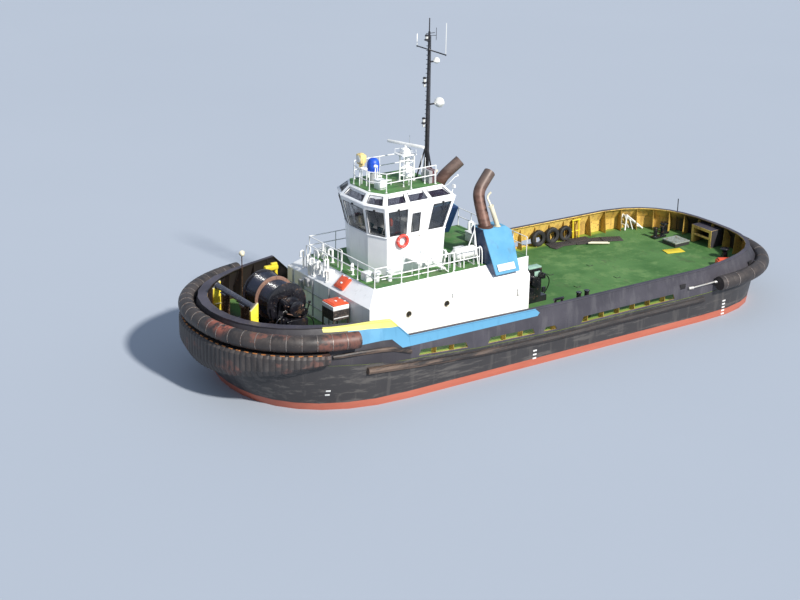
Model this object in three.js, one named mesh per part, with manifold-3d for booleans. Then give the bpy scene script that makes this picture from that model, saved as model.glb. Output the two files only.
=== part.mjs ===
// Harbour tug with two azimuth thrusters, a raised wheelhouse, twin funnels and a long open aft deck.
// Millimetres. +X bow, +Y port, +Z up. The origin is amidships on the centreline, at the waterline.
import * as THREE from 'three';
import { mergeVertices } from 'three/addons/utils/BufferGeometryUtils.js';
import Module from 'manifold-3d';

const wasm = await Module();
wasm.setup();

// Driving dimensions
const gap = 0.3;                 // left between pieces that rest on each other
const halfBeam = 6000;           // moulded half beam at the deck edge
const bowCentre = 10000;         // where the side starts to round in to the bow
const bowReach = 7700;
const bowPower = 2.35;
const sternCentre = -11000;
const sternReach = 6700;
const sternPower = 2.7;
const paintLine = 400;           // top of the red bottom paint above the waterline
const boatDeck = 5100;           // top of the deckhouse
const wheelFloor = 6000;         // floor of the wheelhouse
const sill = 7200;
const eaves = 8830;
const wheelRoof = 9480;
const mastTop = 17900;
const plate = 90;                // bulwark plate with its frames
const plateSet = 20;             // bulwark plate stands this far inboard of the moulded edge
const capDeep = 60;              // flat rail along the top of the bulwarks
const sternCap = 230;            // width of that rail abaft the step
const wall = 100;                // house wall with its lining
const frameWall = 80;            // window frames, trunk and roof of the wheelhouse
const doorWall = 60;
const glass = 12;
const railTop = 1050;            // guard rails: top rail and middle rail above the deck they stand on
const railMid = 550;

// Sheer of the main deck: station x, deck height z
const sheer = [
  [-18500, 1950], [-11000, 1720], [0, 1700], [5000, 1850], [10000, 2200], [13000, 2500], [18500, 2950],
];
const deckAt = (x) => {
  const i = Math.max(1, Math.min(sheer.length - 1, sheer.findIndex(([sx]) => sx >= x)));
  const [[x0, z0], [x1, z1]] = [sheer[i - 1], sheer[i]];
  return z0 + (z1 - z0) * (x - x0) / (x1 - x0);
};

// Colours as linear three.js materials: name, colour, roughness, metalness
const paints = {
  hull: [0x17171a, 0.55, 0.1],
  bottom: [0x9c3b28, 0.7, 0.0],
  bulwark: [0x33323c, 0.5, 0.1],
  blue: [0x3a8fc4, 0.45, 0.1],
  yellow: [0xd9a92e, 0.55, 0.1],
  rubber: [0x221d1b, 0.85, 0.0],
  white: [0xe9eaec, 0.45, 0.1],
  green: [0x2f6b33, 0.7, 0.0],
  black: [0x121316, 0.35, 0.3],
  brown: [0x7a5546, 0.6, 0.5],
  bronze: [0x9a7a3c, 0.35, 0.9],
  coverBlue: [0x1c3f9e, 0.7, 0.0],
  glass: [0x27343d, 0.08, 0.0],
  grey: [0x777a7d, 0.6, 0.2],
};

const V = (x, y, z) => new THREE.Vector3(x, y, z);
const group = new THREE.Group();

// Closed three.js geometry to solid, and back to a named mesh
function solid(geometry) {
  const bare = geometry.clone();
  bare.deleteAttribute('normal');
  bare.deleteAttribute('uv');
  const merged = mergeVertices(bare, 0.01);
  return new wasm.Manifold(new wasm.Mesh({
    numProp: 3,
    vertProperties: new Float32Array(merged.attributes.position.array),
    triVerts: new Uint32Array(merged.index.array),
  }));
}
const join = (parts) => parts.reduce((sum, part) => sum.add(part));

function put(name, body, paint) {
  const got = body.getMesh();
  const geometry = new THREE.BufferGeometry();
  geometry.setAttribute('position', new THREE.BufferAttribute(new Float32Array(got.vertProperties), 3));
  geometry.setIndex(new THREE.BufferAttribute(new Uint32Array(got.triVerts), 1));
  geometry.computeVertexNormals();
  const [color, roughness, metalness] = paints[paint];
  const mesh = new THREE.Mesh(geometry, new THREE.MeshStandardMaterial({ color, roughness, metalness }));
  mesh.name = name;
  group.add(mesh);
  return mesh;
}

// Basic solids, each given by its lowest and highest corner or by its axis
const block = (x0, x1, y0, y1, z0, z1) => solid(
  new THREE.BoxGeometry(x1 - x0, y1 - y0, z1 - z0)
    .translate((x0 + x1) / 2, (y0 + y1) / 2, (z0 + z1) / 2));

function rod(from, to, radius, sides = 8, endRadius = radius) {
  const along = to.clone().sub(from);
  const geometry = new THREE.CylinderGeometry(endRadius, radius, along.length(), sides);
  const turn = new THREE.Quaternion().setFromUnitVectors(V(0, 1, 0), along.clone().normalize());
  geometry.applyQuaternion(turn);
  geometry.translate(...from.clone().add(to).multiplyScalar(0.5).toArray());
  return solid(geometry);
}
const post = (x, y, z0, z1, radius, sides = 8, top = radius) => rod(
  V(x, y, z0), V(x, y, z1), radius, sides, top);
const ball = (x, y, z, radius, sides = 12) => solid(
  new THREE.SphereGeometry(radius, sides, sides / 2).translate(x, y, z));

// A lathe around a line through a point: profile of [radius, along] that starts and ends on the axis
function turned(profile, at, axis, sides = 24) {
  const geometry = new THREE.LatheGeometry(profile.map(([r, h]) => new THREE.Vector2(r, h)), sides);
  geometry.applyQuaternion(new THREE.Quaternion().setFromUnitVectors(V(0, 1, 0), axis));
  geometry.translate(...at.toArray());
  const body = solid(geometry);
  return body.volume() > 0 ? body : flip(geometry);
}
function flip(geometry) {
  const index = Array.from(geometry.index.array);
  for (let i = 0; i < index.length; i += 3) [index[i], index[i + 1]] = [index[i + 1], index[i]];
  geometry.setIndex(index);
  return solid(geometry);
}

// Skin over a row of rings with equal point counts, closed at both ends. A ring with a tip is symmetric
// about the centreline from that point on, and its lid runs straight across from side to side
function loft(rings, tip = -1) {
  const count = rings[0].length;
  const index = [];
  for (let i = 0; i + 1 < rings.length; i += 1) {
    for (let j = 0; j < count; j += 1) {
      const a = i * count + j;
      const b = i * count + (j + 1) % count;
      index.push(a, b, b + count, a, b + count, a + count);
    }
  }
  for (const level of [0, rings.length - 1]) {
    for (const [a, b, c] of tip < 0 ? capFaces(rings[level]) : zipFaces(count, tip)) {
      const face = level === 0 ? [a, c, b] : [a, b, c];
      index.push(...face.map((k) => k + level * count));
    }
  }
  const geometry = new THREE.BufferGeometry();
  const places = rings.flat().flatMap((p) => p.toArray());
  geometry.setAttribute('position', new THREE.Float32BufferAttribute(places, 3));
  geometry.setIndex(index);
  const body = solid(geometry);
  return body.volume() > 0 ? body : flip(geometry);
}
function zipFaces(count, tip) {
  const faces = [];
  for (let k = 0; k < count / 2; k += 1) {
    const port = [tip + k, tip + k + 1].map((i) => i % count);
    const starboard = [tip - k, tip - k - 1].map((i) => (i + count) % count);
    if (port[1] !== starboard[1]) faces.push([port[0], port[1], starboard[1]]);
    if (port[0] !== starboard[0]) faces.push([port[0], starboard[1], starboard[0]]);
  }
  return faces;
}
function capFaces(ring) {
  const normal = V(0, 0, 0);
  ring.forEach((p, i) => normal.add(p.clone().cross(ring[(i + 1) % ring.length])));
  normal.normalize();
  const side = ring[1].clone().sub(ring[0]).normalize();
  const up = normal.clone().cross(side);
  const flat = ring.map((p) => new THREE.Vector2(p.dot(side), p.dot(up)));
  return THREE.ShapeUtils.triangulateShape(flat, []);
}

// Tube along a run of points, mitred at its corners
function tube(points, radius, sides = 8, squash = 1) {
  const rings = points.map((p, i) => {
    const back = p.clone().sub(points[Math.max(0, i - 1)]);
    const ahead = points[Math.min(points.length - 1, i + 1)].clone().sub(p);
    const along = back.normalize().add(ahead.normalize()).normalize();
    const across = Math.abs(along.z) > 0.95 ? V(0, 1, 0) : V(0, 0, 1).cross(along).normalize();
    const up = along.clone().cross(across).normalize();
    return Array.from({ length: sides }, (_, k) => {
      const a = 2 * Math.PI * k / sides;
      return p.clone().addScaledVector(across, radius * Math.cos(a))
        .addScaledVector(up, radius * squash * Math.sin(a));
    });
  });
  return loft(rings);
}

// Plan outline of the rounded ends: angle 0 is the centreline, 90 degrees the full beam
function endPoint(centre, reach, beam, power, angle) {
  const c = Math.abs(Math.cos(angle)) ** (2 / power);
  const s = Math.abs(Math.sin(angle)) ** (2 / power) * Math.sign(angle);
  const x = centre + reach * c;
  const y = beam * s;
  const nx = Math.sign(reach) * (Math.max(c, 1e-6) ** (power - 1)) / Math.abs(reach);
  const ny = Math.sign(y) * (Math.abs(s) ** (power - 1)) / beam;
  const length = Math.hypot(nx, ny);
  return { x, y, nx: nx / length, ny: ny / length };
}
// Path round an end from port to starboard, with a straight run along each side to x = from
function endPath(bow, from, steps, inset = 0) {
  const [centre, reach, power] = bow
    ? [bowCentre, bowReach - inset, bowPower] : [sternCentre, -(sternReach - inset), sternPower];
  const beam = halfBeam - inset;
  const path = [];
  for (let i = 0; i <= steps; i += 1) {
    const even = 1 - 2 * i / steps;
    const angle = Math.sign(even) * Math.abs(even) ** 1.15 * Math.PI / 2;
    path.push(endPoint(centre, reach, beam, power, angle));
  }
  const lead = { x: from, y: beam, nx: 0, ny: 1 };
  const tail = { x: from, y: -beam, nx: 0, ny: -1 };
  return from === centre ? path : [lead, ...path, tail];
}

// Hull: plan outlines stacked from the keel to the deck edge.
// height z, bow end x, bow round-in x, stern round-in x, stern end x, half beam, bow power, stern power
const waterlines = [
  [-3900, 11200, 3000, -1500, -4800, 2300, 2.0, 2.0],
  [-3500, 13200, 4500, -2500, -6500, 4100, 2.0, 2.2],
  [-2800, 14500, 6500, -4000, -8200, 5350, 2.1, 2.4],
  [-2250, 15200, 7600, -5200, -9800, 5650, 2.2, 2.5],
  [-1900, 15500, 8200, -10000, -16900, 5750, 2.2, 2.7],
  [-1200, 15900, 8800, -10500, -17200, 5850, 2.25, 2.7],
  [paintLine, 16600, 9500, -10800, -17400, 5920, 2.3, 2.7],
  [1500, 17400, 10000, -11000, -17650, 5980, 2.35, 2.7],
];
const ringSteps = 16;
function waterRing(z, bowEnd, bowIn, sternIn, sternEnd, beam, bowP, sternP) {
  const ring = [];
  for (let i = 0; i <= ringSteps; i += 1) {
    const even = 1 - 2 * i / ringSteps;
    const angle = -Math.sign(even) * Math.abs(even) ** 1.15 * Math.PI / 2;
    const p = endPoint(bowIn, bowEnd - bowIn, beam, bowP, angle);
    ring.push(V(p.x, p.y, z));
  }
  for (const x of [5000, 0]) ring.push(V(Math.min(x, bowIn - 500), beam, z));
  for (let i = 0; i <= ringSteps; i += 1) {
    const even = 1 - 2 * i / ringSteps;
    const angle = Math.sign(even) * Math.abs(even) ** 1.15 * Math.PI / 2;
    const p = endPoint(sternIn, sternEnd - sternIn, beam, sternP, angle);
    ring.push(V(p.x, p.y, z));
  }
  for (const x of [0, 5000]) ring.push(V(Math.min(x, bowIn - 500), -beam, z));
  return ring;
}
const deckRing = waterRing(0, bowCentre + bowReach, bowCentre, sternCentre, sternCentre - sternReach,
  halfBeam, bowPower, sternPower).map((p) => V(p.x, p.y, deckAt(p.x)));
const bowTip = ringSteps / 2;
const deckCut = (lift) => loft([
  deckRing.map((p) => V(p.x, p.y, -1000)),
  deckRing.map((p) => V(p.x, p.y, p.z + lift)),
], bowTip);
const thruster = { x: -12600, y: 2700, axis: -3900, nozzle: 1250, seat: -2400, trunk: -1500, stem: 700 };
const wells = [1, -1].map((side) => post(thruster.x, side * thruster.y, thruster.seat, thruster.trunk,
  thruster.stem + 60, 16));
// Lashing pads: flat plates welded to a deck, where loads and gear are bolted down. Centre x, y and top z
const lashing = [[-5500, 1220], [-5500, -1220], [-8500, 1220], [-8500, -1220]];
const pad = { half: 150, top: 1745, rise: 20 };
const padOn = (x, y, z0, z1) => block(x - pad.half, x + pad.half, y - pad.half, y + pad.half, z0, z1);
const lashingPads = lashing.map(([x, y]) => padOn(x, y, 1600, pad.top));
const shellBody = loft([...waterlines.map((row) => waterRing(...row)), deckRing], bowTip);
const hull = join([shellBody, ...wells, ...lashingPads]);
// The hull grown by a hair, to cut what lies against its sides
const wider = hull.scale([1 + gap / 17000, 1 + gap / 5900, 1]);
const hullSkin = wider.translate([0, 0, gap]).add(wider.translate([0, 0, -gap]));
put('hull', hull, 'hull');
const onDeck = (body) => body.subtract(deckCut(gap));

// Skeg: deep box fin under the forward half that gives the tug its grip in the water
const skeg = { x0: -5500, x1: 9500, foot: -5200, half: 190 };
put('skeg', loft([
  [-3900 - gap, skeg.x0, skeg.x1, skeg.half],
  [skeg.foot, skeg.x0 + 1800, skeg.x1 - 2600, skeg.half * 0.7],
].map(([z, x0, x1, w]) => [V(x1, 0, z), V(x1 - 900, w, z), V(x0 + 900, w, z), V(x0, 0, z),
  V(x0 + 900, -w, z), V(x1 - 900, -w, z)])), 'bottom');

// Bulwarks: plate, flat cap rail, and freeing slots cut at the deck edge.
// A row gives the section at one place on the path: outer foot, outer top, cap, inner top, inner foot
function bulwarkRing(p, lift, lean, cap) {
  const foot = deckAt(p.x) - capDeep;
  const knee = deckAt(p.x) + kneeRise;
  const at = (out, z) => V(p.x + p.nx * out, p.y + p.ny * out, z);
  const top = lift(p);
  const l = lean(p);
  const c = cap(p);
  const under = top - capDeep;
  const face = -plateSet;
  const back = -plateSet - plate;
  return [
    at(face, foot), at(face, knee), at(face - l, under), at(plateSet - l, under), at(plateSet - l, top),
    at(-c - l, top), at(-c - l, under), at(back - l, under), at(back, knee), at(back, foot),
  ];
}
// Solid that fills the inside of the bulwark, grown by a hair, to cut the fenders that lie on it
const grown = (body) => body.scale([1 + gap / 17000, 1 + gap / 5900, 1]);
const insideOf = (path, top, lean) => {
  // levels from below: how far the plate leans in there, height
  const levels = [
    () => [0, 1000],
    (p) => [0, deckAt(p.x) + kneeRise],
    (p) => [lean(p), top(p) - capDeep],
    (p) => [lean(p), 5000],
  ];
  return grown(loft(levels.map((level) => path.map((p) => {
    const [inward, z] = level(p);
    return V(p.x - p.nx * (plateSet + inward), p.y - p.ny * (plateSet + inward), z);
  }))));
};
const kneeRise = 700;                       // the plate stands upright this far, then leans inboard
const stepX = 9450;                         // foot of the step between the two bulwark heights
const raised = 10500;                       // head of the same step
const foreRail = 4440;                      // top of the raised bulwark
const foreTop = (p) => Math.min(foreRail, 3420 + (p.x - stepX) * 0.97);
const share = (v) => Math.max(0, Math.min(1, v));
const foreCap = (p) => 180 + 300 * share((p.x - 12000) / 4000);
const foreLean = (p) => 120 + share((p.x - 10000) / 2500) * (100 + 330 * Math.abs(p.ny));
const forePath = endPath(true, stepX + 2 * gap, ringSteps);
forePath.splice(1, 0, { x: raised, y: halfBeam, nx: 0, ny: 1 });
forePath.splice(forePath.length - 1, 0, { x: raised, y: -halfBeam, nx: 0, ny: -1 });
const onSlope = (p) => p.x > stepX + 10 && p.x < raised - 1 && Math.abs(p.nx) < 0.001;
const foreRow = forePath.filter((p, i) => !(onSlope(p) && i));
const forePlate = onDeck(loft(foreRow.map((p) => bulwarkRing(p, foreTop, foreLean, foreCap))));
put('bulwark_fore', forePlate, 'bulwark');
const foreInside = insideOf(foreRow, foreTop, foreLean);

const round = (x) => share((-9000 - x) / 5000);
const aftTop = (p) => 3050 + Math.max(0, p.x + 6000) * 0.024 + 200 * round(p.x);
const aftLean = (p) => 120 + 280 * round(p.x) ** 1.3;
const aftPath = endPath(false, stepX - 2 * gap, ringSteps);
for (const x of [5000, 0]) {
  aftPath.splice(x === 5000 ? 1 : 2, 0, { x, y: halfBeam, nx: 0, ny: 1 });
  aftPath.splice(aftPath.length - (x === 5000 ? 1 : 2), 0, { x, y: -halfBeam, nx: 0, ny: -1 });
}
// Freeing slots: forward end x, aft end x, height of the lower side above the deck edge, tall
const slots = [
  [8900, 5800, 120, 300], [4500, 1400, 120, 300], [800, -100, 120, 220], [-1800, -8600, 120, 320],
];
const slotCut = join(slots.flatMap(([x1, x0, up, tall]) => [1, -1].map((side) => {
  const outline = [[x0, deckAt(x0) + up], [x1, deckAt(x1) + up], [x1 - 150, deckAt(x1) + up + tall],
    [x0 + 150, deckAt(x0) + up + tall]];
  return loft([side * 5300, side * 6400].map((y) => outline.map(([x, z]) => V(x, y, z))));
})));
// Stern gate: frame welded to the inside of the stern bulwark, which leads a line over the stern
const gate = { x0: -17390, x1: -16450, y0: -1050, y1: 650, post: 200, bar: 2400, top: 2980 };
const gateFrame = block(gate.x0, gate.x1, gate.y0, gate.y1, 1600, gate.top)
  .subtract(block(gate.x0 - 10, gate.x1 + 10, gate.y0 + gate.post, gate.y1 - gate.post, 1500, gate.top - 180))
  .add(rod(V(gate.x1 - 100, gate.y0 + 50, gate.bar), V(gate.x1 - 100, gate.y1 - 50, gate.bar), 80, 8));
const aftPlate = loft(aftPath.map((p) => bulwarkRing(p, aftTop, aftLean, () => sternCap)));
put('bulwark_aft', onDeck(aftPlate.add(gateFrame)).subtract(slotCut), 'bulwark');

// Fenders: a fat rubber roll and a ribbed block round the bow, a lighter roll round the stern
const bowRoll = { radius: 440, out: 220, from: 11800, end: 12500, z: 3900 };
const overX = (path, x) => path.filter((p) => p.x >= x);
const bowLine = overX(endPath(true, bowCentre, 30), bowRoll.from);
const rollLine = bowLine.map((p) => V(p.x + p.nx * bowRoll.out, p.y + p.ny * bowRoll.out, bowRoll.z));
put('fender_bow_roll', tube(rollLine, bowRoll.radius, 10).trimByPlane([1, 0, 0], bowRoll.end)
  .subtract(foreInside).subtract(grown(forePlate)), 'rubber');
// The block is deepest at the stem, and its foot climbs as it runs aft
const bowBlock = {
  top: 3330, foot: 1650, climb: 440, out: 640, lower: 380, aft: 13750, slant: 0.3, ease: 120,
};
const blockFoot = (x) => {
  const fromStem = Math.max(0, bowCentre + bowReach - x) / 1000;
  return bowBlock.foot + bowBlock.climb * fromStem ** 0.7;
};
put('fender_bow_block', loft(overX(endPath(true, bowCentre, 30), bowBlock.aft).map((p) => {
  const at = (out, z) => V(p.x + p.nx * out, p.y + p.ny * out, z);
  const { top, out, ease } = bowBlock;
  const foot = blockFoot(p.x);
  const slant = foot + (top - foot) * bowBlock.slant;
  return [
    at(-300, foot + 100), at(bowBlock.lower, foot), at(out, slant), at(out, top - ease), at(out - ease, top),
    at(-300, top),
  ];
})).subtract(hullSkin).subtract(foreInside).subtract(grown(forePlate)), 'rubber');
const sternRoll = { radius: 450, out: 400, from: -11500, z: 2320 };
const sternLine = endPath(false, sternCentre, 28).filter((p) => p.x <= sternRoll.from);
put('fender_stern_roll', tube(sternLine.map((p) => V(p.x + p.nx * sternRoll.out, p.y + p.ny * sternRoll.out,
  sternRoll.z)), sternRoll.radius, 10).subtract(hullSkin)
  .subtract(insideOf(aftPath, aftTop, () => 0)), 'rubber');

// Rubbing strakes: half-round steel bar along the deck edge on each side
const strake = { radius: 190, set: 40, below: 330, run: [-10800, -9000, -5000, 0, 5000, 9000, 12000] };
for (const [name, side] of [['strake_port', 1], ['strake_starboard', -1]]) {
  const path = strake.run.map((x) => V(x, side * (halfBeam - strake.set), deckAt(x) - strake.below));
  put(name, tube(path, strake.radius, 8).subtract(hullSkin), 'hull');
}

// Deckhouse: one steel shell open to the deck below, with a sloped shoulder under the boat deck
const house = {
  front: 10600, aft: 300, tread: -200, side: 4000, rail: 3200, railFront: 9800, shoulder: 4400, step: 3750,
};
const shell = (t) => {
  const f = house.front - t;
  const s = house.side - t;
  const body = loft([
    [0, house.aft + t, f, s], [house.shoulder, house.aft + t, f, s],
    [boatDeck - t, house.aft + t, house.railFront - t, house.rail - t * 0.6],
  ].map(([z, x0, x1, y]) => [V(x1, -y, z), V(x1, y, z), V(x0, y, z), V(x0, -y, z)]));
  const over = loft([
    [house.step + t, house.tread + 60 + t, house.rail - t], [house.shoulder, house.tread + t, house.rail - t],
    [boatDeck - t, house.tread + t, house.rail - t],
  ].map(([z, x0, y]) => [V(2000, -y, z), V(2000, y, z), V(x0, y, z), V(x0, -y, z)]));
  return body.add(over);
};
const houseDoor = { y0: 2100, y1: 2850, z0: 1950, z1: 3650, thick: 60, play: 8 };
const portholes = [[8200, 3700], [5800, 3800]];
const portholeBore = 200;
const holeCut = join(portholes.flatMap(([x, z]) => [1, -1].map((side) =>
  rod(V(x, side * 3000, z), V(x, side * 5000, z), portholeBore, 16))));
const houseShell = onDeck(shell(0).subtract(shell(wall)))
  .subtract(block(-500, 1000, houseDoor.y0, houseDoor.y1, houseDoor.z0, houseDoor.z1))
  .subtract(holeCut)
  .add(padOn(9150, 0, boatDeck - 40, boatDeck + pad.rise));
put('house', houseShell, 'white');

put('house_door', block(house.aft, house.aft + houseDoor.thick, houseDoor.y0 + houseDoor.play,
  houseDoor.y1 - gap, houseDoor.z0 + houseDoor.play, houseDoor.z1 - houseDoor.play), 'white');

// Funnels: leaning casing over each side of the house, with a bent exhaust pipe.
// casing levels: z, outboard y, inboard y, aft x, forward x
const funnelTop = 6950;
const casingLevels = [
  [4750, 4080, 2520, 1050, 2650], [6700, 2980, 1780, 850, 2680], [funnelTop, 2820, 1880, 1170, 2650],
];
const pipe = { radius: 330, wall: 40 };
// run of the pipe from the casing to its mouth: x, y, z
const pipeRun = [
  [2230, 2450, funnelTop + gap], [2230, 2050, 7800], [2230, 1760, 8350], [2100, 1610, 8680],
  [1750, 1480, 9050], [1200, 1330, 9560],
];
for (const [name, side] of [['port', 1], ['starboard', -1]]) {
  const y = (v) => side * v;
  const casing = loft(casingLevels.map(([z, out, inn, x0, x1]) => [
    V(x1, y(inn), z), V(x1, y(out), z), V(x0, y(out), z), V(x0, y(inn), z)]));
  put(`funnel_${name}`, casing.subtract(shell(-gap)), 'blue');
  const bend = pipeRun.map(([px, py, pz]) => V(px, y(py), pz));
  const mouth = bend[bend.length - 1].clone().add(V(-60, 0, 60));
  const bore = [...bend.slice(3, -1), mouth];
  put(`exhaust_${name}`, tube(bend, pipe.radius, 12)
    .subtract(tube(bore, pipe.radius - pipe.wall, 12))
    .subtract(block(0, 4000, side > 0 ? 0 : -4000, side > 0 ? 4000 : 0, 6000, funnelTop + gap)), 'brown');
}

// Wheelhouse: faceted steel trunk, leaning window frames, and a roof with a ring of sky windows.
// Plan corners on the port side: x, y
const footPlan = [[8600, 830], [8140, 1910], [4650, 1960]];
const sillPlan = [[8700, 900], [8240, 2000], [4600, 2050]];
const eavesPlan = [[9100, 1080], [8560, 2240], [4080, 2200]];
const roofPlan = [[8650, 880], [8160, 1690], [4570, 1650]];
const around = (corners, z, shrink = 0) => {
  const cx = 6400;
  const pull = ([x, y]) => [x - Math.sign(x - cx) * shrink, y - Math.sign(y) * shrink * 0.9];
  const port = corners.map(pull);
  return [...port, ...port.map(([x, y]) => [x, -y]).reverse()].map(([x, y]) => V(x, y, z));
};
const trunk = loft([around(footPlan, boatDeck + gap), around(sillPlan, sill)])
  .subtract(loft([around(footPlan, boatDeck - 10, frameWall), around(sillPlan, sill + 10, frameWall)]));
const floor = loft([around(footPlan, wheelFloor - 80, 40), around(footPlan, wheelFloor, 40)]);
const wheelDoor = { x0: 6100, x1: 6900, z0: wheelFloor + 60, z1: 8560, play: 10 };
const doorLight = { z0: 7300, z1: 8350 };
const doorSlab = (side, play, hinge) => block(wheelDoor.x0 + play, wheelDoor.x1 - hinge,
  side > 0 ? 1700 : -2500, side > 0 ? 2500 : -1700, wheelDoor.z0 + play, wheelDoor.z1 - play);
const doorways = join([1, -1].map((side) => doorSlab(side, 0, 0)));
put('wheelhouse_trunk', trunk.add(floor).subtract(doorways), 'white');

// Window cuts: each pane is a slab pushed through the leaning frame, given by its place along a face
const frameRaw = loft([around(sillPlan, sill + gap), around(eavesPlan, eaves)])
  .subtract(loft([around(sillPlan, sill - 20, frameWall), around(eavesPlan, eaves + 20, frameWall)]));
function paneCut(a, b, t0, t1, z0, z1) {
  // a and b are plan corners at sill and eaves level; the cut runs between shares t0 and t1 of that face
  const at = (corners, t, z) => {
    const [p, q] = corners;
    return V(p[0] + (q[0] - p[0]) * t, p[1] + (q[1] - p[1]) * t, z);
  };
  const level = (z) => {
    const s = (z - sill) / (eaves - sill);
    return [0, 1].map((k) => [a[k][0] + (b[k][0] - a[k][0]) * s, a[k][1] + (b[k][1] - a[k][1]) * s]);
  };
  const face = (z) => {
    const [p, q] = level(z);
    const out = new THREE.Vector2(q[1] - p[1], p[0] - q[0]).normalize().multiplyScalar(300);
    return [at([p, q], t0, z), at([p, q], t1, z)].flatMap((v) => [
      V(v.x - out.x, v.y - out.y, z), V(v.x + out.x, v.y + out.y, z)]);
  };
  const [a0, a1, b0, b1] = face(z0);
  const [c0, c1, d0, d1] = face(z1);
  return loft([[a0, b0, d0, c0], [a1, b1, d1, c1]]);
}
const sillRing = around(sillPlan, 0).map((v) => [v.x, v.y]);
const eavesRing = around(eavesPlan, 0).map((v) => [v.x, v.y]);
// Faces in ring order: which corner starts the face, panes as shares of the face
const panes = [
  [0, [[0.08, 0.92]]],                                        // port bow quarter
  [1, [[0.05, 0.33], [0.70, 0.96]]],                          // port side
  [2, [[0.05, 0.34], [0.37, 0.63], [0.66, 0.95]]],            // aft
  [3, [[0.04, 0.30], [0.67, 0.95]]],                          // starboard side
  [4, [[0.08, 0.92]]],                                        // starboard bow quarter
  [5, [[0.06, 0.94]]],                                        // front
];
const winTop = eaves - 170;
const winFoot = sill + 70;
const paneCuts = panes.flatMap(([k, spans]) => spans.map(([t0, t1]) => {
  const n = sillRing.length;
  const [low, high] = [sillRing, eavesRing].map((ring) => [ring[k], ring[(k + 1) % n]]);
  return paneCut(low, high, t0, t1, winFoot, winTop);
}));
put('wheelhouse_frame', frameRaw.subtract(join(paneCuts)).subtract(doorways), 'white');

// Glazing: thin sheet just inside the frame, in one piece forward and one aft of the doors
const sheet = (d) => loft([
  around(sillPlan, sill - 20, frameWall + d), around(eavesPlan, eaves + 20, frameWall + d)]);
const glassSeat = 0.4;
const glassRaw = sheet(glassSeat).subtract(sheet(glass));
const glassCut = (x0, x1) => block(x0, x1, -3000, 3000, sill + 30, eaves - 40);
put('glazing_fore', glassRaw.intersect(glassCut(wheelDoor.x1 + 50, 12000)), 'glass');
put('glazing_aft', glassRaw.intersect(glassCut(2000, wheelDoor.x0 - 50)), 'glass');

// Roof: white eaves band, sloped ring with six sky windows, and a flat top with a low kerb
const band = 130;
const roofOuter = join([
  loft([around(eavesPlan, eaves + gap), around(eavesPlan, eaves + band)]),
  loft([around(eavesPlan, eaves + band - 30), around(roofPlan, wheelRoof)]),
]);
const roofLining = (d) => loft([
  around(eavesPlan, eaves - 20, frameWall + d), around(eavesPlan, eaves + band - d, frameWall + d),
  around(roofPlan, wheelRoof - 90 - d, 60 + d)]);
const roofRing = around(roofPlan, 0).map((v) => [v.x, v.y]);
function skyCut(k, t0, t1) {
  const n = eavesRing.length;
  const mix = (p, q, t) => [p[0] + (q[0] - p[0]) * t, p[1] + (q[1] - p[1]) * t];
  const at = (u, s) => {
    const low = mix(eavesRing[k], eavesRing[(k + 1) % n], u);
    const high = mix(roofRing[k], roofRing[(k + 1) % n], u);
    const [x, y] = mix(low, high, s);
    return [x, y, eaves + band + (wheelRoof - eaves - band) * s];
  };
  const quad = [at(t0, 0.15), at(t1, 0.15), at(t1, 0.8), at(t0, 0.8)];
  return loft([-160, 160].map((lift) => quad.map(([x, y, z]) => V(x, y, z + lift))));
}
// Sky windows: face, shares of the face
const skies = [[0, 0.12, 0.88], [1, 0.04, 0.30], [1, 0.36, 0.62], [1, 0.68, 0.96],
  [3, 0.04, 0.32], [3, 0.38, 0.64], [3, 0.70, 0.96], [4, 0.12, 0.88], [5, 0.1, 0.9]];
put('wheelhouse_roof', roofOuter.subtract(roofLining(0))
  .subtract(join(skies.map((row) => skyCut(...row))))
  .add(padOn(6900, -1000, wheelRoof - 40, wheelRoof + pad.rise)), 'white');
const skyGlass = roofLining(glassSeat).subtract(roofLining(glass))
  .intersect(block(2000, 12000, -3000, 3000, eaves + 40, wheelRoof - 110));
put('glazing_sky', skyGlass, 'glass');

// Wheelhouse doors: a leaf that follows the lean of the side, hinged on its forward edge
for (const [name, side] of [['port', 1], ['starboard', -1]]) {
  const shut = doorSlab(side, wheelDoor.play, gap);
  const skin = loft([around(footPlan, boatDeck), around(sillPlan, sill), around(eavesPlan, eaves)])
    .subtract(loft([around(footPlan, boatDeck - 10, doorWall), around(sillPlan, sill, doorWall),
      around(eavesPlan, eaves + 10, doorWall)]));
  const light = block(wheelDoor.x0 + 160, wheelDoor.x1 - 160, -3000, 3000, doorLight.z0, doorLight.z1);
  put(`wheelhouse_door_${name}`, skin.intersect(shut).subtract(light), 'white');
}

// Helm: console across the front, and the master's chair on its pedestal
put('helm_console', join([
  block(7350, 7950, -1200, 1200, wheelFloor + gap, wheelFloor + 950),
  block(7150, 7400, -500, 500, wheelFloor + gap, wheelFloor + 850),
]), 'grey');
put('helm_chair', join([
  post(6500, 0, wheelFloor + gap, wheelFloor + 450, 90),
  block(6250, 6760, -260, 260, wheelFloor + 430, wheelFloor + 560),
  block(6180, 6290, -250, 250, wheelFloor + 540, wheelFloor + 1250),
]), 'black');

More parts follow.
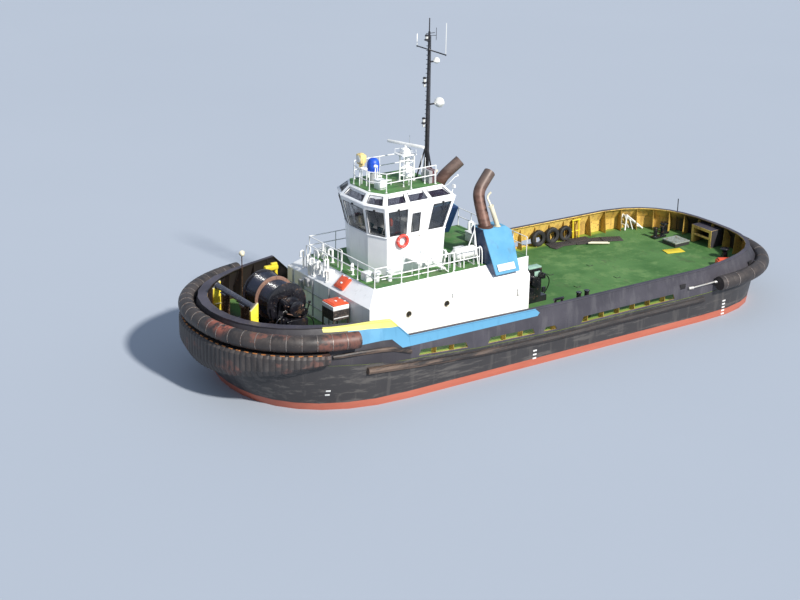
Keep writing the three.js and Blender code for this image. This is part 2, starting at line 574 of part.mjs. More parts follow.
// Pipe rails: level rails over a run of points, and posts under the top one. Base is the deck height
function rail(points, base, heights, { ends = true, spacing = 1600, radius = 24 } = {}) {
  const parts = [];
  const stand = ([x, y]) => parts.push(post(x, y, base + gap, base + heights[0], radius, 4));
  points.slice(1).forEach(([x1, y1], i) => {
    const [x0, y0] = points[i];
    for (const h of heights) parts.push(rod(V(x0, y0, base + h), V(x1, y1, base + h), radius, 4));
    const bays = Math.max(1, Math.round(Math.hypot(x1 - x0, y1 - y0) / spacing));
    for (let k = 0; k < bays; k += 1) {
      const share = k / bays;
      if (ends || i + k > 0) stand([x0 + (x1 - x0) * share, y0 + (y1 - y0) * share]);
    }
  });
  if (ends) stand(points[points.length - 1]);
  return join(parts);
}
const railSize = { inset: 60, aft: 3100, radius: 24 };
const railX = house.railFront - railSize.inset;
const railY = house.rail - railSize.inset;
const railButt = railY - railSize.radius - gap;
for (const [name, y] of [['port', railY], ['starboard', -railY]]) {
  put(`boat_deck_rail_${name}`, rail([[railSize.aft, y], [railX, y]], boatDeck, [railTop, railMid]), 'white');
}
put('boat_deck_rail_front', rail([[railX, railButt], [railX, -railButt]], boatDeck, [railTop, railMid],
  { ends: false }), 'white');
const roofRun = [[4850, 1450], [7980, 1500], [8520, 730], [8520, -730], [7980, -1500], [4850, -1450]];
put('roof_rail', rail(roofRun, wheelRoof, [1000, 500], { spacing: 1300 }), 'white');

// Mast: tapered pole on three legs, with lamp brackets, a cross yard and two white domes
const mast = {
  x: 4420, base: 8980, legHead: 11300, leg: 50, yard: 16250, yardPort: 1500, yardStarboard: -1100,
};
const mastLeg = (x, y, z) => rod(V(x, y, z), V(mast.x, 0, mast.legHead), mast.leg, 4);
const mastParts = [
  post(mast.x, 0, mast.base + gap, mastTop - 700, 130, 8, 60),
  post(mast.x, 0, mastTop - 800, mastTop, 30, 6),
  mastLeg(mast.x + 650, 0, wheelRoof - 40),
  mastLeg(mast.x - 150, 550, mast.base + gap),
  mastLeg(mast.x - 150, -550, mast.base + gap),
  rod(V(mast.x, mast.yardStarboard, mast.yard), V(mast.x, mast.yardPort, mast.yard), 35, 4),
  post(mast.x, mast.yardPort - 25, mast.yard - 50, mastTop, 25, 4),
  post(mast.x, mast.yardStarboard + 25, mast.yard - 50, mast.yard + 650, 25, 4),
];
// Lamp shelves: height z, reach forward, lamp height
for (const [z, reach, tall] of [[12350, 330, 330], [14500, 330, 330], [16750, 260, 300]]) {
  mastParts.push(block(mast.x, mast.x + reach, -90, 90, z, z + 50));
  mastParts.push(post(mast.x + reach - 90, 0, z + 40, z + tall, 85, 6));
}
// Domes: height z, reach aft, radius
for (const [z, reach, radius] of [[13380, 740, 290], [15640, 500, 180]]) {
  mastParts.push(block(mast.x - reach - 60, mast.x, -60, 60, z - 60, z));
  mastParts.push(post(mast.x - reach, 0, z - 60, z + 20, radius, 10));
  mastParts.push(ball(mast.x - reach, 0, z, radius * 0.97, 10));
}
put('mast', join(mastParts).subtract(roofOuter.translate([0, 0, gap])), 'black');

// Radar: white pedestal on a platform, and its turning scanner bar
const radar = { x: 5780, z: 11300, rest: 22, half: 1150, legs: [[-350, 300], [-350, -300], [350, 0]] };
put('radar_pedestal', join([
  ...radar.legs.map(([dx, y]) => post(radar.x + dx, y, wheelRoof + gap, radar.z - 400, 45, 6)),
  block(radar.x - 450, radar.x + 450, -400, 400, radar.z - 450, radar.z - 390),
  post(radar.x, 0, radar.z - 400, radar.z - 60, 190, 10, 150),
]), 'white');
put('radar_scanner', join([
  post(radar.x, 0, radar.z - 60 + gap, radar.z + 60, 90, 10),
  block(-60, 60, -radar.half, radar.half, radar.z + 40, radar.z + 170)
    .rotate([0, 0, radar.rest]).translate([radar.x, 0, 0]),
]), 'white');

// Searchlights on the roof front: a yellow-cased one on legs, and one under a blue cover on a drum
const lampPost = { x: 8380, y: -300, shelf: 10380, pivot: 10500, top: 11230 };
const lampFeet = [[-220, -230], [-220, 230], [60, 0]].map(([dx, dy]) => [lampPost.x + dx, lampPost.y + dy]);
const lampBox = (x0, x1, half, z0, z1) => block(lampPost.x + x0, lampPost.x + x1,
  lampPost.y - half, lampPost.y + half, z0, z1);
const lampDrum = { x: 7500, y: -450, radius: 260, top: 10150, ball: 340, ballZ: 10470 };
put('searchlight_stand', join([
  ...lampFeet.map(([x, y]) => post(x, y, wheelRoof + gap, lampPost.shelf + 20, 35, 6)),
  lampBox(-260, 110, 270, lampPost.shelf, lampPost.shelf + 50),
  post(lampPost.x, lampPost.y, lampPost.shelf + 40, lampPost.pivot, 110, 10),
]), 'white');
put('searchlight', join([
  post(lampPost.x, lampPost.y, lampPost.pivot + gap, lampPost.pivot + 140, 100, 10),
  lampBox(-230, 230, 280, lampPost.pivot + 120, lampPost.top),
]), 'yellow');
put('lamp_drum', join([
  post(lampDrum.x, lampDrum.y, wheelRoof + gap, lampDrum.top, lampDrum.radius, 12),
  ball(lampDrum.x, lampDrum.y, lampDrum.ballZ, lampDrum.ball, 12),
]), 'coverBlue');

// Roof locker between the mast legs and the rail
const roofLocker = { x0: 4700, x1: 5150, y0: 650, y1: 1300, top: 10150 };
put('roof_locker', block(roofLocker.x0, roofLocker.x1, roofLocker.y0, roofLocker.y1, wheelRoof + gap,
  roofLocker.top), 'grey');

// Life-raft canisters on their cradles, one each side abaft the wheelhouse
const raft = { y: 2450, x0: 2900, x1: 4250, z: 5750, radius: 330, cradles: [3100, 3970], cradleTop: 5600 };
for (const [name, side] of [['port', 1], ['starboard', -1]]) {
  const y = side * raft.y;
  put(`liferaft_${name}`, join([
    rod(V(raft.x0, y, raft.z), V(raft.x1, y, raft.z), raft.radius, 10),
    ...raft.cradles.map((x) => block(x, x + 80, y - 300, y + 300, boatDeck + gap, raft.cradleTop)),
  ]), 'white');
}

// Steps from the boat deck to the wheelhouse door on each side: two stringers, treads and a landing
const steps = {
  foot: 5050, head: 6010, fore: 7030, prop: 6950, inner: 2080, outer: 3090, wide: 600, rail: 1000,
  thin: 24, stout: 28,
};
const treads = [[5300, 5340], [5550, 5580], [5800, 5810]];     // x, z
for (const [name, side] of [['port', 1], ['starboard', -1]]) {
  const [lo, hi] = side > 0 ? [steps.inner, steps.outer] : [-steps.outer, -steps.inner];
  const out = side * (steps.outer - 20);
  const inner = out - side * steps.wide;
  const parts = [block(steps.head - 20, steps.fore + 20, lo, hi, wheelFloor - 60, wheelFloor)];
  for (const y of [inner, out]) {
    parts.push(rod(V(steps.foot, y, boatDeck + 30), V(steps.head, y, wheelFloor - 30), steps.stout, 4));
    parts.push(post(steps.prop, y, boatDeck + gap, wheelFloor - 30, steps.stout, 4));
  }
  for (const [x, z] of treads) {
    parts.push(block(x - 100, x + 100, Math.min(inner, out), Math.max(inner, out), z - 15, z + 15));
  }
  // hand rail over the landing and down the flight
  const handRail = [[steps.fore, wheelFloor], [steps.head, wheelFloor], [steps.foot, boatDeck + 10]];
  const rails = handRail.map(([x, z]) => V(x, out, z + steps.rail - 10));
  handRail.forEach(([x, z], i) => {
    const foot = i < 2 ? wheelFloor - 30 : boatDeck + gap;
    parts.push(post(x, out, foot, z + steps.rail, steps.thin, 4));
    if (i > 0) parts.push(rod(rails[i - 1], rails[i], steps.thin, 4));
  });
  put(`steps_${name}`, join(parts), 'white');
}

// Escort winch on the foredeck: two side frames, a bed, and a split drum that turns between them
const winch = {
  x: 13800, z: 4450, r: 1150, half: 1250, core: 620, shaft: 130, cheek: 80,
  frame: 1330, frameWall: 150, bed: 2950, bedFore: 1880, bedHalf: 1280, wound: [1040, 980],
};
// outline of a side frame: x from the drum's axis, z
const winchSide = [
  [900, winch.bed - 50], [-1100, winch.bed - 50], [-450, winch.z + 450], [450, winch.z + 450],
];
const across = (x, z, y0, y1, radius, sides) => rod(V(x, y0, z), V(x, y1, z), radius, sides);
put('winch_frame', onDeck(join([
  block(winch.x - 1500, winch.x + 1300, -1750, 1750, 2400, winch.bed),
  ...[-1, 1].map((s) => loft([winch.frame, winch.frame + winch.frameWall].map(
    (y) => winchSide.map(([dx, z]) => V(winch.x + dx, s * y, z))))),
  block(winch.x - 700, winch.x + 500, 1470, 2150, winch.bed - 50, 3900),
  across(winch.x - 100, winch.z, 1470, 2050, 380, 12),
  block(winch.x + 1200, winch.x + winch.bedFore, -winch.bedHalf, winch.bedHalf, 2500, winch.bed),
])), 'black');
put('winch_drum', join([
  across(winch.x, winch.z, -winch.frame + gap, winch.frame - gap, winch.shaft, 8),
  across(winch.x, winch.z, -winch.half, winch.half, winch.core, 12),
  ...[-winch.half, -winch.cheek / 2, winch.half - winch.cheek].map(
    (y) => across(winch.x, winch.z, y, y + winch.cheek, winch.r, 20)),
  across(winch.x, winch.z, -winch.half + 90, -50, winch.wound[0], 16),
  across(winch.x, winch.z, 50, winch.half - 90, winch.wound[1], 16),
]), 'black');

// Bow staple: two legs with a bar across their tops, and two upright rollers that lead the towline
// over the bow
const staple = {
  x0: 15880, x1: 16320, inner: 1840, outer: 1980, fore: 4800, aft: 5180, bar: 4960, barRadius: 150,
  rollerX: 16080, rollerY: 950, roller: 250, sill: 3000,
};
// outline of a leg: x, z
const legSide = [[staple.x0, 2500], [staple.x1, 2500], [staple.x1, staple.fore], [staple.x0, staple.aft]];
put('bow_staple', onDeck(join([
  ...[-1, 1].map((s) => loft([staple.inner, staple.outer].map(
    (y) => legSide.map(([x, z]) => V(x, s * y, z))))),
  across(staple.rollerX, staple.bar, -staple.inner - 20, staple.inner + 20, staple.barRadius, 12),
  ...[-1, 1].map((s) => post(staple.rollerX, s * staple.rollerY, 2500, staple.bar, staple.roller, 14)),
  block(staple.x0, staple.x1, -staple.inner - 20, staple.inner + 20, 2500, staple.sill),
])), 'yellow');

// Bitts: twin posts on a base plate, forward by the bulwark and at the port side aft
const bitts = (x, y, height) => onDeck(join([
  block(x - 480, x + 480, y - 200, y + 200, deckAt(x) - 200, deckAt(x) + 120),
  post(x - 280, y, deckAt(x), deckAt(x) + height, 130, 8),
  post(x + 280, y, deckAt(x), deckAt(x) + height, 130, 8),
  post(x - 280, y, deckAt(x) + height - 20, deckAt(x) + height + 40, 165, 8),
  post(x + 280, y, deckAt(x) + height - 20, deckAt(x) + height + 40, 165, 8),
]));
put('bitts_fore_port', bitts(11600, 4700, 1500), 'yellow');
put('bitts_fore_starboard', bitts(11600, -4700, 1500), 'yellow');
put('bitts_aft_port', bitts(-2500, 5150, 1500), 'black');
put('bitts_aft_starboard', bitts(-2500, -5150, 1500), 'black');
put('bitts_stern', bitts(-15300, -2700, 650), 'black');

// Towing winch behind the house: frame with side plates, and a drum on a cross shaft
const tow = {
  x: -1700, z: 2950, r: 780, core: 430, shaft: 110, cheek: 70, bed: 2050, y0: -1530, y1: 1400, frameWall: 120,
};
// outline of a side plate: x from the drum's axis, z
const towSide = [[700, tow.bed - 50], [-800, tow.bed - 50], [-350, 3500], [350, 3500]];
put('tow_winch_frame', onDeck(join([
  block(tow.x - 900, tow.x + 800, -1900, 2000, 1500, tow.bed),
  ...[tow.y0 - tow.frameWall, tow.y1].map((y0) => loft([y0, y0 + tow.frameWall].map(
    (y) => towSide.map(([dx, z]) => V(tow.x + dx, y, z))))),
  block(tow.x - 500, tow.x + 450, 1500, 1980, tow.bed - 50, 3700),
])), 'black');
put('tow_winch_drum', join([
  across(tow.x, tow.z, tow.y0 + gap, tow.y1 - gap, tow.shaft, 8),
  across(tow.x, tow.z, -1400, 1280, tow.core, 16),
  ...[-1400, 1280 - tow.cheek].map((y) => across(tow.x, tow.z, y, y + tow.cheek, tow.r, 24)),
]), 'black');

// Hatch to the thruster room: coaming and hinged lid
const hatch = { x0: -15950, x1: -14800, y0: -1800, y1: -650, tall: 220, wall: 60, lip: 20, lid: 70 };
const hatchZ = deckAt(hatch.x1) + hatch.tall;
put('hatch_coaming', onDeck(block(hatch.x0, hatch.x1, hatch.y0, hatch.y1, 1500, hatchZ)
  .subtract(block(hatch.x0 + hatch.wall, hatch.x1 - hatch.wall, hatch.y0 + hatch.wall, hatch.y1 - hatch.wall,
    1400, hatchZ + 100))), 'green');
put('hatch_lid', block(hatch.x0 - hatch.lip, hatch.x1 + hatch.lip, hatch.y0 - hatch.lip, hatch.y1 + hatch.lip,
  hatchZ + gap, hatchZ + hatch.lid), 'grey');

// Locker on four legs in front of the house
const locker = { x0: 10700, x1: 11650, y0: 1150, y1: 2250, foot: 3400, top: 4180, leg: 80 };
const lockerLegs = [locker.x0, locker.x1 - locker.leg].flatMap((x) => [locker.y0, locker.y1 - locker.leg].map(
  (y) => block(x, x + locker.leg, y, y + locker.leg, 2000, locker.foot + 10)));
put('locker_white', onDeck(join([
  block(locker.x0, locker.x1, locker.y0, locker.y1, locker.foot, locker.top), ...lockerLegs,
])), 'white');

// Tyres hung inside the starboard bulwark: x, radius
const tyres = [[-8100, 520], [-9180, 520], [-10220, 480]];
const tyreWide = 260;
const tyreY = -5600;
const tyreProfile = (outer, bore) => {
  const w = tyreWide / 2;
  return [
    [bore, -w * 0.7], [outer - 70, -w], [outer, -w * 0.55], [outer, w * 0.55], [outer - 70, w],
    [bore, w * 0.7], [bore, -w * 0.7],
  ];
};
tyres.forEach(([x, r], i) => {
  const hub = V(x, tyreY, deckAt(x) + r - 20);
  put(`tyre_${i + 1}`, onDeck(turned(tyreProfile(r, r * 0.52), hub, V(0, 1, 0), 14)), 'rubber');
});

// Thrusters: round stem through the hull bottom, gear leg, bulb and nozzle. They steer about the stem.
// Sections through the nozzle, the bulb and the propeller hub: radius, distance abaft their centre
const { nozzle } = thruster;
const nozzleRing = [
  [nozzle, -300], [nozzle + 140, -330], [nozzle + 170, -200], [nozzle + 100, 450], [nozzle - 30, 800],
  [nozzle - 60, 800], [nozzle, -300],
];
const bulb = [[0, -700], [220, -620], [330, -350], [330, 560], [0, 560]];
const hubCone = [[0, 560 + gap], [300, 560 + gap], [280, 800], [180, 1000], [0, 1050]];
const legPlan = [[300, 0], [0, 160], [-350, 0], [0, -160]];
const stayTurns = [3.14, 5.24, 7.34];           // angles of the three stays that hold the nozzle
for (const [name, side] of [['port', 1], ['starboard', -1]]) {
  const y = side * thruster.y;
  const { x, axis } = thruster;
  const astern = V(-1, 0, 0);
  const ring = turned(nozzleRing, V(x - 650, y, axis), astern, 24);
  const leg = loft([thruster.seat - 100, axis].map((z) => legPlan.map(([dx, dy]) => V(x + dx, y + dy, z))));
  const spoke = (dx, r, a) => V(x + dx, y + r * Math.sin(a), axis + r * Math.cos(a));
  const stays = stayTurns.map((a) => rod(spoke(-250, 300, a), spoke(-430, nozzle + 40, a), 60, 4));
  put(`thruster_${name}`, join([
    post(x, y, thruster.seat - 150, thruster.seat - gap, thruster.stem, 16), leg,
    turned(bulb, V(x, y, axis), astern, 12), ring, ...stays,
  ]), 'bottom');
  const hub = turned(hubCone, V(x, y, axis), astern, 12);
  const blades = [0, 1, 2, 3].map((k) => {
    const a = k * Math.PI / 2;
    const turn = (r, w, t) => [[-w, -t], [w, -t * 0.4], [w, t * 0.4], [-w, t]].map(([u, v]) => {
      const pitch = 0.95 - 0.45 * r / nozzle;
      const sweep = u * Math.cos(pitch);
      const along = u * Math.sin(pitch) + v;
      return V(x - 840 - along, y + side * (r * Math.sin(a) + sweep * Math.cos(a)),
        axis + r * Math.cos(a) - sweep * Math.sin(a));
    });
    return loft([turn(200, 120, 50), turn(600, 250, 35), turn(980, 260, 22), turn(1120, 150, 14)]);
  });
  put(`propeller_${name}`, join([hub, ...blades]), 'bronze');
}

export default group;
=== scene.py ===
# Harbour tug, dressed for the studio: metres, +X bow, +Y port, +Z up, the waterline at z = 0.
import math
from math import cos, pi, radians, sin

import bmesh
import bpy
from mathutils import Matrix, Quaternion, Vector
from mathutils.bvhtree import BVHTree


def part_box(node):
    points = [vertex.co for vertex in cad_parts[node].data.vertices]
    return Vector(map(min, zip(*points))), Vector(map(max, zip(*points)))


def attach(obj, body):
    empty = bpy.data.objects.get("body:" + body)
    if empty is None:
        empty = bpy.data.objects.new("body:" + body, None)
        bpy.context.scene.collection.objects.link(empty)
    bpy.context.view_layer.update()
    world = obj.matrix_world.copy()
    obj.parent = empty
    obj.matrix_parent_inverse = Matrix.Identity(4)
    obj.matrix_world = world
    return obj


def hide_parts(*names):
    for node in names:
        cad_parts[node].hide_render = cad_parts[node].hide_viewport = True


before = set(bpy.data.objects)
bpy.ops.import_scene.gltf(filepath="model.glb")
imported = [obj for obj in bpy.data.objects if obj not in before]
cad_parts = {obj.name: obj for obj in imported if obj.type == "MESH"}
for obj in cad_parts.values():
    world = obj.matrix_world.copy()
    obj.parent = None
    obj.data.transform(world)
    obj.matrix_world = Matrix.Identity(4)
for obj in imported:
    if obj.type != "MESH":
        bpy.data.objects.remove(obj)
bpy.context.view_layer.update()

# HULL
# Welded steel, black above the waterline and red below, with a green non-slip deck on top.
# The paint is rolled on, scuffed by quay walls and streaked by water from the freeing slots.


class Wire:
    """A socket of a material in the making. Arithmetic on it adds Math nodes."""

    def __init__(self, tree, socket=None):
        self.tree = tree
        self.socket = socket

    def add(self, kind, values=None, out=0, **settings):
        """One node: its settings first, then its sockets' values or links."""
        node = self.tree.nodes.new("ShaderNode" + kind)
        for name, value in settings.items():
            setattr(node, name, value)
        for name, value in (values or {}).items():
            self.feed(node.inputs[name], value)
        return Wire(self.tree, node.outputs[out])

    def feed(self, socket, value):
        if isinstance(value, Wire):
            self.tree.links.new(value.socket, socket)
        elif isinstance(value, tuple) and len(value) == 3 and socket.type == "RGBA":
            socket.default_value = (*value, 1.0)
        else:
            socket.default_value = value

    def maths(self, operation, other=0.0, turned=False):
        pair = (other, self) if turned else (self, other)
        return self.add("Math", dict(enumerate(pair)), operation=operation)

    def __add__(self, other):
        return self.maths("ADD", other)

    __radd__ = __add__

    def __sub__(self, other):
        return self.maths("SUBTRACT", other)

    def __rsub__(self, other):
        return self.maths("SUBTRACT", other, turned=True)

    def __mul__(self, other):
        return self.maths("MULTIPLY", other)

    __rmul__ = __mul__

    def over(self, edge, soft=0.02):
        """0 below the edge, 1 above it, over a soft width."""
        ends = {"Value": self, "From Min": edge - soft, "From Max": edge + soft}
        return self.add("MapRange", ends, interpolation_type="SMOOTHSTEP")

    def between(self, low, high, soft=0.01, soft_end=0.02):
        """1 between two edges, 0 outside them."""
        return self.over(low, soft) * (1 - self.over(high, soft_end))

    def place(self):
        return self.add("TexCoord", out=3)

    def facing(self):
        return self.add("TexCoord", out=1)

    def axes(self):
        split = self.add("SeparateXYZ", {0: self})
        return [Wire(self.tree, socket) for socket in split.socket.node.outputs]

    def noise(self, scale, detail=4.0, rough=0.55, stretch=(1.0, 1.0, 1.0)):
        """Noise over the piece, where self is its Object coordinate."""
        spread = self.add("Mapping", {"Vector": self, "Scale": stretch})
        return self.add("TexNoise", {"Vector": spread, "Scale": scale, "Detail": detail,
                                     "Roughness": rough})

    def fine(self, scale, stretch=(1.0, 1.0, 1.0)):
        """Rough noise for grit, spots and wear."""
        return self.noise(scale, 6.0, 0.7, stretch)

    def runs(self, scale, length=0.12):
        """Noise drawn out downwards, as rain and rust run down a side."""
        return self.noise(scale, 4.0, 0.6, (1.0, 1.0, length))

    def tint(self, low, high):
        """Self as a mask between two colours."""
        return self.add("Mix", {0: self, 6: low, 7: high}, out=2, data_type="RGBA")

    def bump(self, strength, depth):
        return self.add("Bump", {"Height": self, "Strength": strength, "Distance": depth})


def finish(name, look):
    """Material whose shader sockets get what look(start) returns."""
    material = bpy.data.materials.new(name)
    material.use_nodes = True
    shader = material.node_tree.nodes["Principled BSDF"]
    start = Wire(material.node_tree)
    for socket, value in look(start).items():
        start.feed(shader.inputs[socket], value)
    return material


def settle(thing, material, body, replaces=()):
    thing.data.materials.clear()
    thing.data.materials.append(material)
    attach(thing, body)
    if replaces:
        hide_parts(*replaces)
    return thing


def weld(bm, name, material, body="hull", replaces=(), sharp=35, recalc=True):
    """Finished mesh to a piece that rides on a body."""
    bmesh.ops.remove_doubles(bm, verts=bm.verts, dist=0.0001)
    if recalc:
        bmesh.ops.recalc_face_normals(bm, faces=bm.faces)
    mesh = bpy.data.meshes.new(name)
    bm.to_mesh(mesh)
    bm.free()
    mesh.shade_smooth()
    mesh.set_sharp_from_angle(angle=radians(sharp))
    thing = bpy.data.objects.new(name, mesh)
    bpy.context.scene.collection.objects.link(thing)
    return settle(thing, material, body, replaces)


def eased(node, material, body="hull", edge=0.0, sharp=30):
    """A node's own solid with its seams merged, its facets smoothed and its edges eased."""
    bm = bmesh.new()
    bm.from_mesh(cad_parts[node].data)
    bmesh.ops.remove_doubles(bm, verts=bm.verts, dist=0.0002)
    bmesh.ops.dissolve_limit(bm, angle_limit=radians(0.5), verts=bm.verts, edges=bm.edges)
    thing = weld(bm, node + "_finished", material, body, (node,), sharp, recalc=False)
    if edge:
        rounding = thing.modifiers.new("edges", "BEVEL")
        rounding.width = edge
        rounding.segments = 2
        rounding.limit_method = "ANGLE"
        rounding.angle_limit = radians(sharp)
        rounding.harden_normals = False
    return thing


paint_line = 0.4
deck_lowest = 1.6


def hull_look(start):
    place = start.place()
    x, y, z = place.axes()
    up = start.facing().axes()[2]
    cloud = place.noise(0.35)
    grit = place.fine(7.0)
    scuff = place.fine(1.6, (0.25, 1.0, 2.2))
    drips = place.noise(2.2, 3.0, 0.6, (1.0, 1.0, 0.12))
    topside = cloud.tint((0.026, 0.025, 0.027), (0.046, 0.043, 0.044))
    topside = scuff.over(0.57, 0.06).tint(topside, (0.085, 0.078, 0.074))
    topside = (drips.over(0.6, 0.05) * 0.35).tint(topside, (0.10, 0.092, 0.086))
    bottom = scuff.tint((0.33, 0.075, 0.045), (0.52, 0.16, 0.10))
    bottom = (1 - z.over(-0.3, 0.5)).tint(bottom, (0.22, 0.05, 0.035))
    side = (z + (grit - 0.5) * 0.03).over(paint_line, 0.015).tint(bottom, topside)
    worn = place.noise(0.28, 5.0, 0.6)
    deck = worn.over(0.5, 0.18).tint((0.034, 0.115, 0.022), (0.082, 0.190, 0.052))
    faded = place.noise(0.9, 7.0, 0.7)
    deck = (faded.over(0.56, 0.07) * 0.45).tint(deck, (0.16, 0.27, 0.09))
    oily = place.noise(0.55, 6.0, 0.75, (1.0, 0.6, 1.0))
    deck = (oily.over(0.62, 0.05) * 0.4).tint(deck, (0.055, 0.060, 0.03))
    deck = (grit.over(0.68, 0.03) * 0.5).tint(deck, (0.28, 0.32, 0.20))
    edge = y.maths("ABSOLUTE").over(5.45, 0.25) * (0.4 + scuff)
    deck = edge.maths("MINIMUM", 1.0).tint(deck, (0.27, 0.36, 0.04))
    deck = (x.over(14.2, 0.5) * 0.85).tint(deck, (0.022, 0.020, 0.014))
    on_deck = up.over(0.8, 0.05) * z.over(deck_lowest, 0.02)
    wet = 0.32 + 0.3 * scuff
    return {
        "Base Color": on_deck.tint(side, deck),
        "Roughness": wet + on_deck * 0.3,
        "Normal": (grit * 0.4 + scuff).bump(0.35, 0.02),
    }


hull_paint = finish("hull_paint", hull_look)
hull = eased("hull", hull_paint)
for face in hull.data.polygons:
    if face.normal.z > 0.9:
        face.use_smooth = False
eased("skeg", hull_paint, edge=0.03)

# DRAUGHT MARKS AND ANODES
# Short white bars are welded to the side forward, amidships and aft, where the depth is read.
# Zinc blocks are welded to the bottom in rows, where they waste away instead of the steel.


def block(bm, low, high, soft=0.0, place=None):
    """Box between two corners with eased edges, then put in place by a matrix."""
    old = set(bm.verts)
    low, high = Vector(low), Vector(high)
    fit = Matrix.LocRotScale((low + high) / 2, None, high - low)
    made = bmesh.ops.create_cube(bm, size=1.0, matrix=fit)["verts"]
    if soft:
        edges = list({edge for vert in made for edge in vert.link_edges})
        bmesh.ops.bevel(bm, geom=edges, offset=soft, segments=2, profile=0.5, affect="EDGES", material=-1)
    made = [vert for vert in bm.verts if vert not in old]
    if place is not None:
        bmesh.ops.transform(bm, matrix=place, verts=made)
    return made


def paint(name, colour, rough=0.42, chip=None, chipped=0.66, metal=0.0, grain=1.4):
    """Brushed or rolled paint, clouded and streaked downwards; a chip colour shows through in spots."""

    def shade(strength):
        return tuple(min(1.0, part * strength) for part in colour)

    def look(start):
        place = start.place()
        cloud = place.noise(grain, 5.0, 0.6)
        fine = place.fine(grain * 9)
        streak = place.runs(grain * 2.5, 0.15)
        coat = cloud.over(0.5, 0.25).tint(shade(0.82), shade(1.06))
        coat = (streak.over(0.6, 0.12) * 0.4).tint(coat, shade(0.66))
        if chip:
            coat = fine.over(chipped, 0.03).tint(coat, chip)
        return {
            "Base Color": coat,
            "Metallic": metal,
            "Roughness": rough + (cloud - 0.5) * 0.25,
            "Normal": (fine + cloud).bump(0.3, 0.004),
        }

    return finish(name, look)


def plate_at(spot, out):
    """Frame on a spot of plating whose Y points out of it."""
    return Matrix.Translation(spot) @ out.to_track_quat("Y", "Z").to_matrix().to_4x4()


hull_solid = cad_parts["hull"].data
hull_corners = [vert.co for vert in hull_solid.vertices]
hull_tree = BVHTree.FromPolygons(hull_corners, [face.vertices for face in hull_solid.polygons])


def on_hull(x, side, z):
    """Frame where a level line from abeam meets the hull."""
    spot, out, _, _ = hull_tree.ray_cast(Vector((x, side * 9, z)), Vector((0, -side, 0)))
    return plate_at(spot, out)


mark_white = paint("mark_white", (0.80, 0.80, 0.78), chip=(0.10, 0.09, 0.08))
bm = bmesh.new()
for x, low, count, pitch in ((-12.6, 0.12, 5, 0.2), (1.32, 0.42, 3, 0.22), (13.85, 0.92, 2, 0.24)):
    for side in (1, -1):
        for step in range(count):
            plate = on_hull(x, side, low + step * pitch)
            block(bm, (-0.12, -0.004, -0.045), (0.12, 0.012, 0.045), 0.004, plate)
weld(bm, "draught_marks", mark_white)

zinc = paint("zinc", (0.34, 0.35, 0.36), rough=0.7, chip=(0.5, 0.5, 0.5), metal=0.5)
bm = bmesh.new()
for x in (-9.5, -6.5, -3.5, 0.5, 3.5, 6.5, 9.0):
    for side in (1, -1):
        block(bm, (-0.3, -0.01, -0.07), (0.3, 0.05, 0.07), 0.015, on_hull(x, side, -1.6))
weld(bm, "anodes", zinc)

# RUBBING STRAKES AND KNUCKLE
# A half-round bar runs along each side at deck level, welded on and worn brown by quays; forward the brown
# is lighter, as a painted highlight.
# A thin flat bar carries the line of the bow fender aft to where the raised bulwark ends.
half_beam = 6.0
bow_curve = (10.0, 7.7, 2.35)
stern_curve = (-11.0, -6.7, 2.7)


def edge_point(bow, turn):
    """Point of the deck edge and the way out of it, with turn from 1 at port to -1 at starboard."""
    centre, reach, power = bow_curve if bow else stern_curve
    angle = math.copysign(abs(turn) ** 1.15, turn) * pi / 2
    c = abs(cos(angle)) ** (2 / power)
    s = math.copysign(abs(sin(angle)) ** (2 / power), angle)
    ahead = math.copysign(max(c, 1e-6) ** (power - 1), reach) / abs(reach)
    abeam = math.copysign(abs(s) ** (power - 1), s) / half_beam
    return Vector((centre + reach * c, half_beam * s, 0)), Vector((ahead, abeam, 0)).normalized()


def edge_at(x, side, steps=1):
    """Point of the deck edge on one side and the way out of it, to a step round the curved ends."""
    if stern_curve[0] <= x <= bow_curve[0]:
        return Vector((x, side * half_beam, 0)), Vector((0, side, 0))
    round_end = [edge_point(x > 0, side * k / steps) for k in range(steps + 1)]
    return min(round_end, key=lambda pair: abs(pair[0].x - x))


def skin(bm, rings):
    """Grid laid over equal rings of points, its seam closed and its ends filled."""
    long, wide = len(rings[0]) - 1, len(rings) - 1
    made = bmesh.ops.create_grid(bm, x_segments=long, y_segments=wide, size=1.0)["verts"]
    for vert, point in zip(made, [point for ring in rings for point in ring]):
        vert.co = point
    bmesh.ops.remove_doubles(bm, verts=made, dist=0.0005)
    bmesh.ops.holes_fill(bm, edges=[edge for edge in bm.edges if edge.is_boundary], sides=0)


def section_at(spot, out, section, level=0.0):
    """Ring of points across a run, each given by how far out of the deck edge it is and how high."""
    return [spot + out * across + Vector((0, 0, level + up)) for across, up in section]


def eased_pair(stem, material, moves=False, edge=0.0, sharp=30):
    """The port and the starboard one of two like nodes, on bodies of their own where they move."""
    for node in (stem + "_port", stem + "_starboard"):
        eased(node, material, node if moves else "hull", edge, sharp)


def strake_look(start):
    place = start.place()
    x = place.axes()[0]
    rub = place.fine(1.1, (0.25, 1.0, 2.5))
    fine = place.fine(9.0)
    # rubbed brown spots, lighter forward of amidships: the lighter brown forward is a painted highlight
    bright = x.over(4.5, 2.5).tint((0.050, 0.044, 0.042), (0.145, 0.10, 0.075))
    steel = rub.over(0.52, 0.08).tint((0.026, 0.023, 0.023), bright)
    return {
        "Base Color": (fine.over(0.6, 0.05) * 0.4).tint(steel, (0.13, 0.075, 0.05)),
        "Roughness": 0.5 + (rub - 0.5) * 0.3,
        "Metallic": 0.2,
        "Normal": (rub + fine * 0.4).bump(0.5, 0.02),
    }


strake_steel = finish("strake_steel", strake_look)
eased_pair("strake", strake_steel)

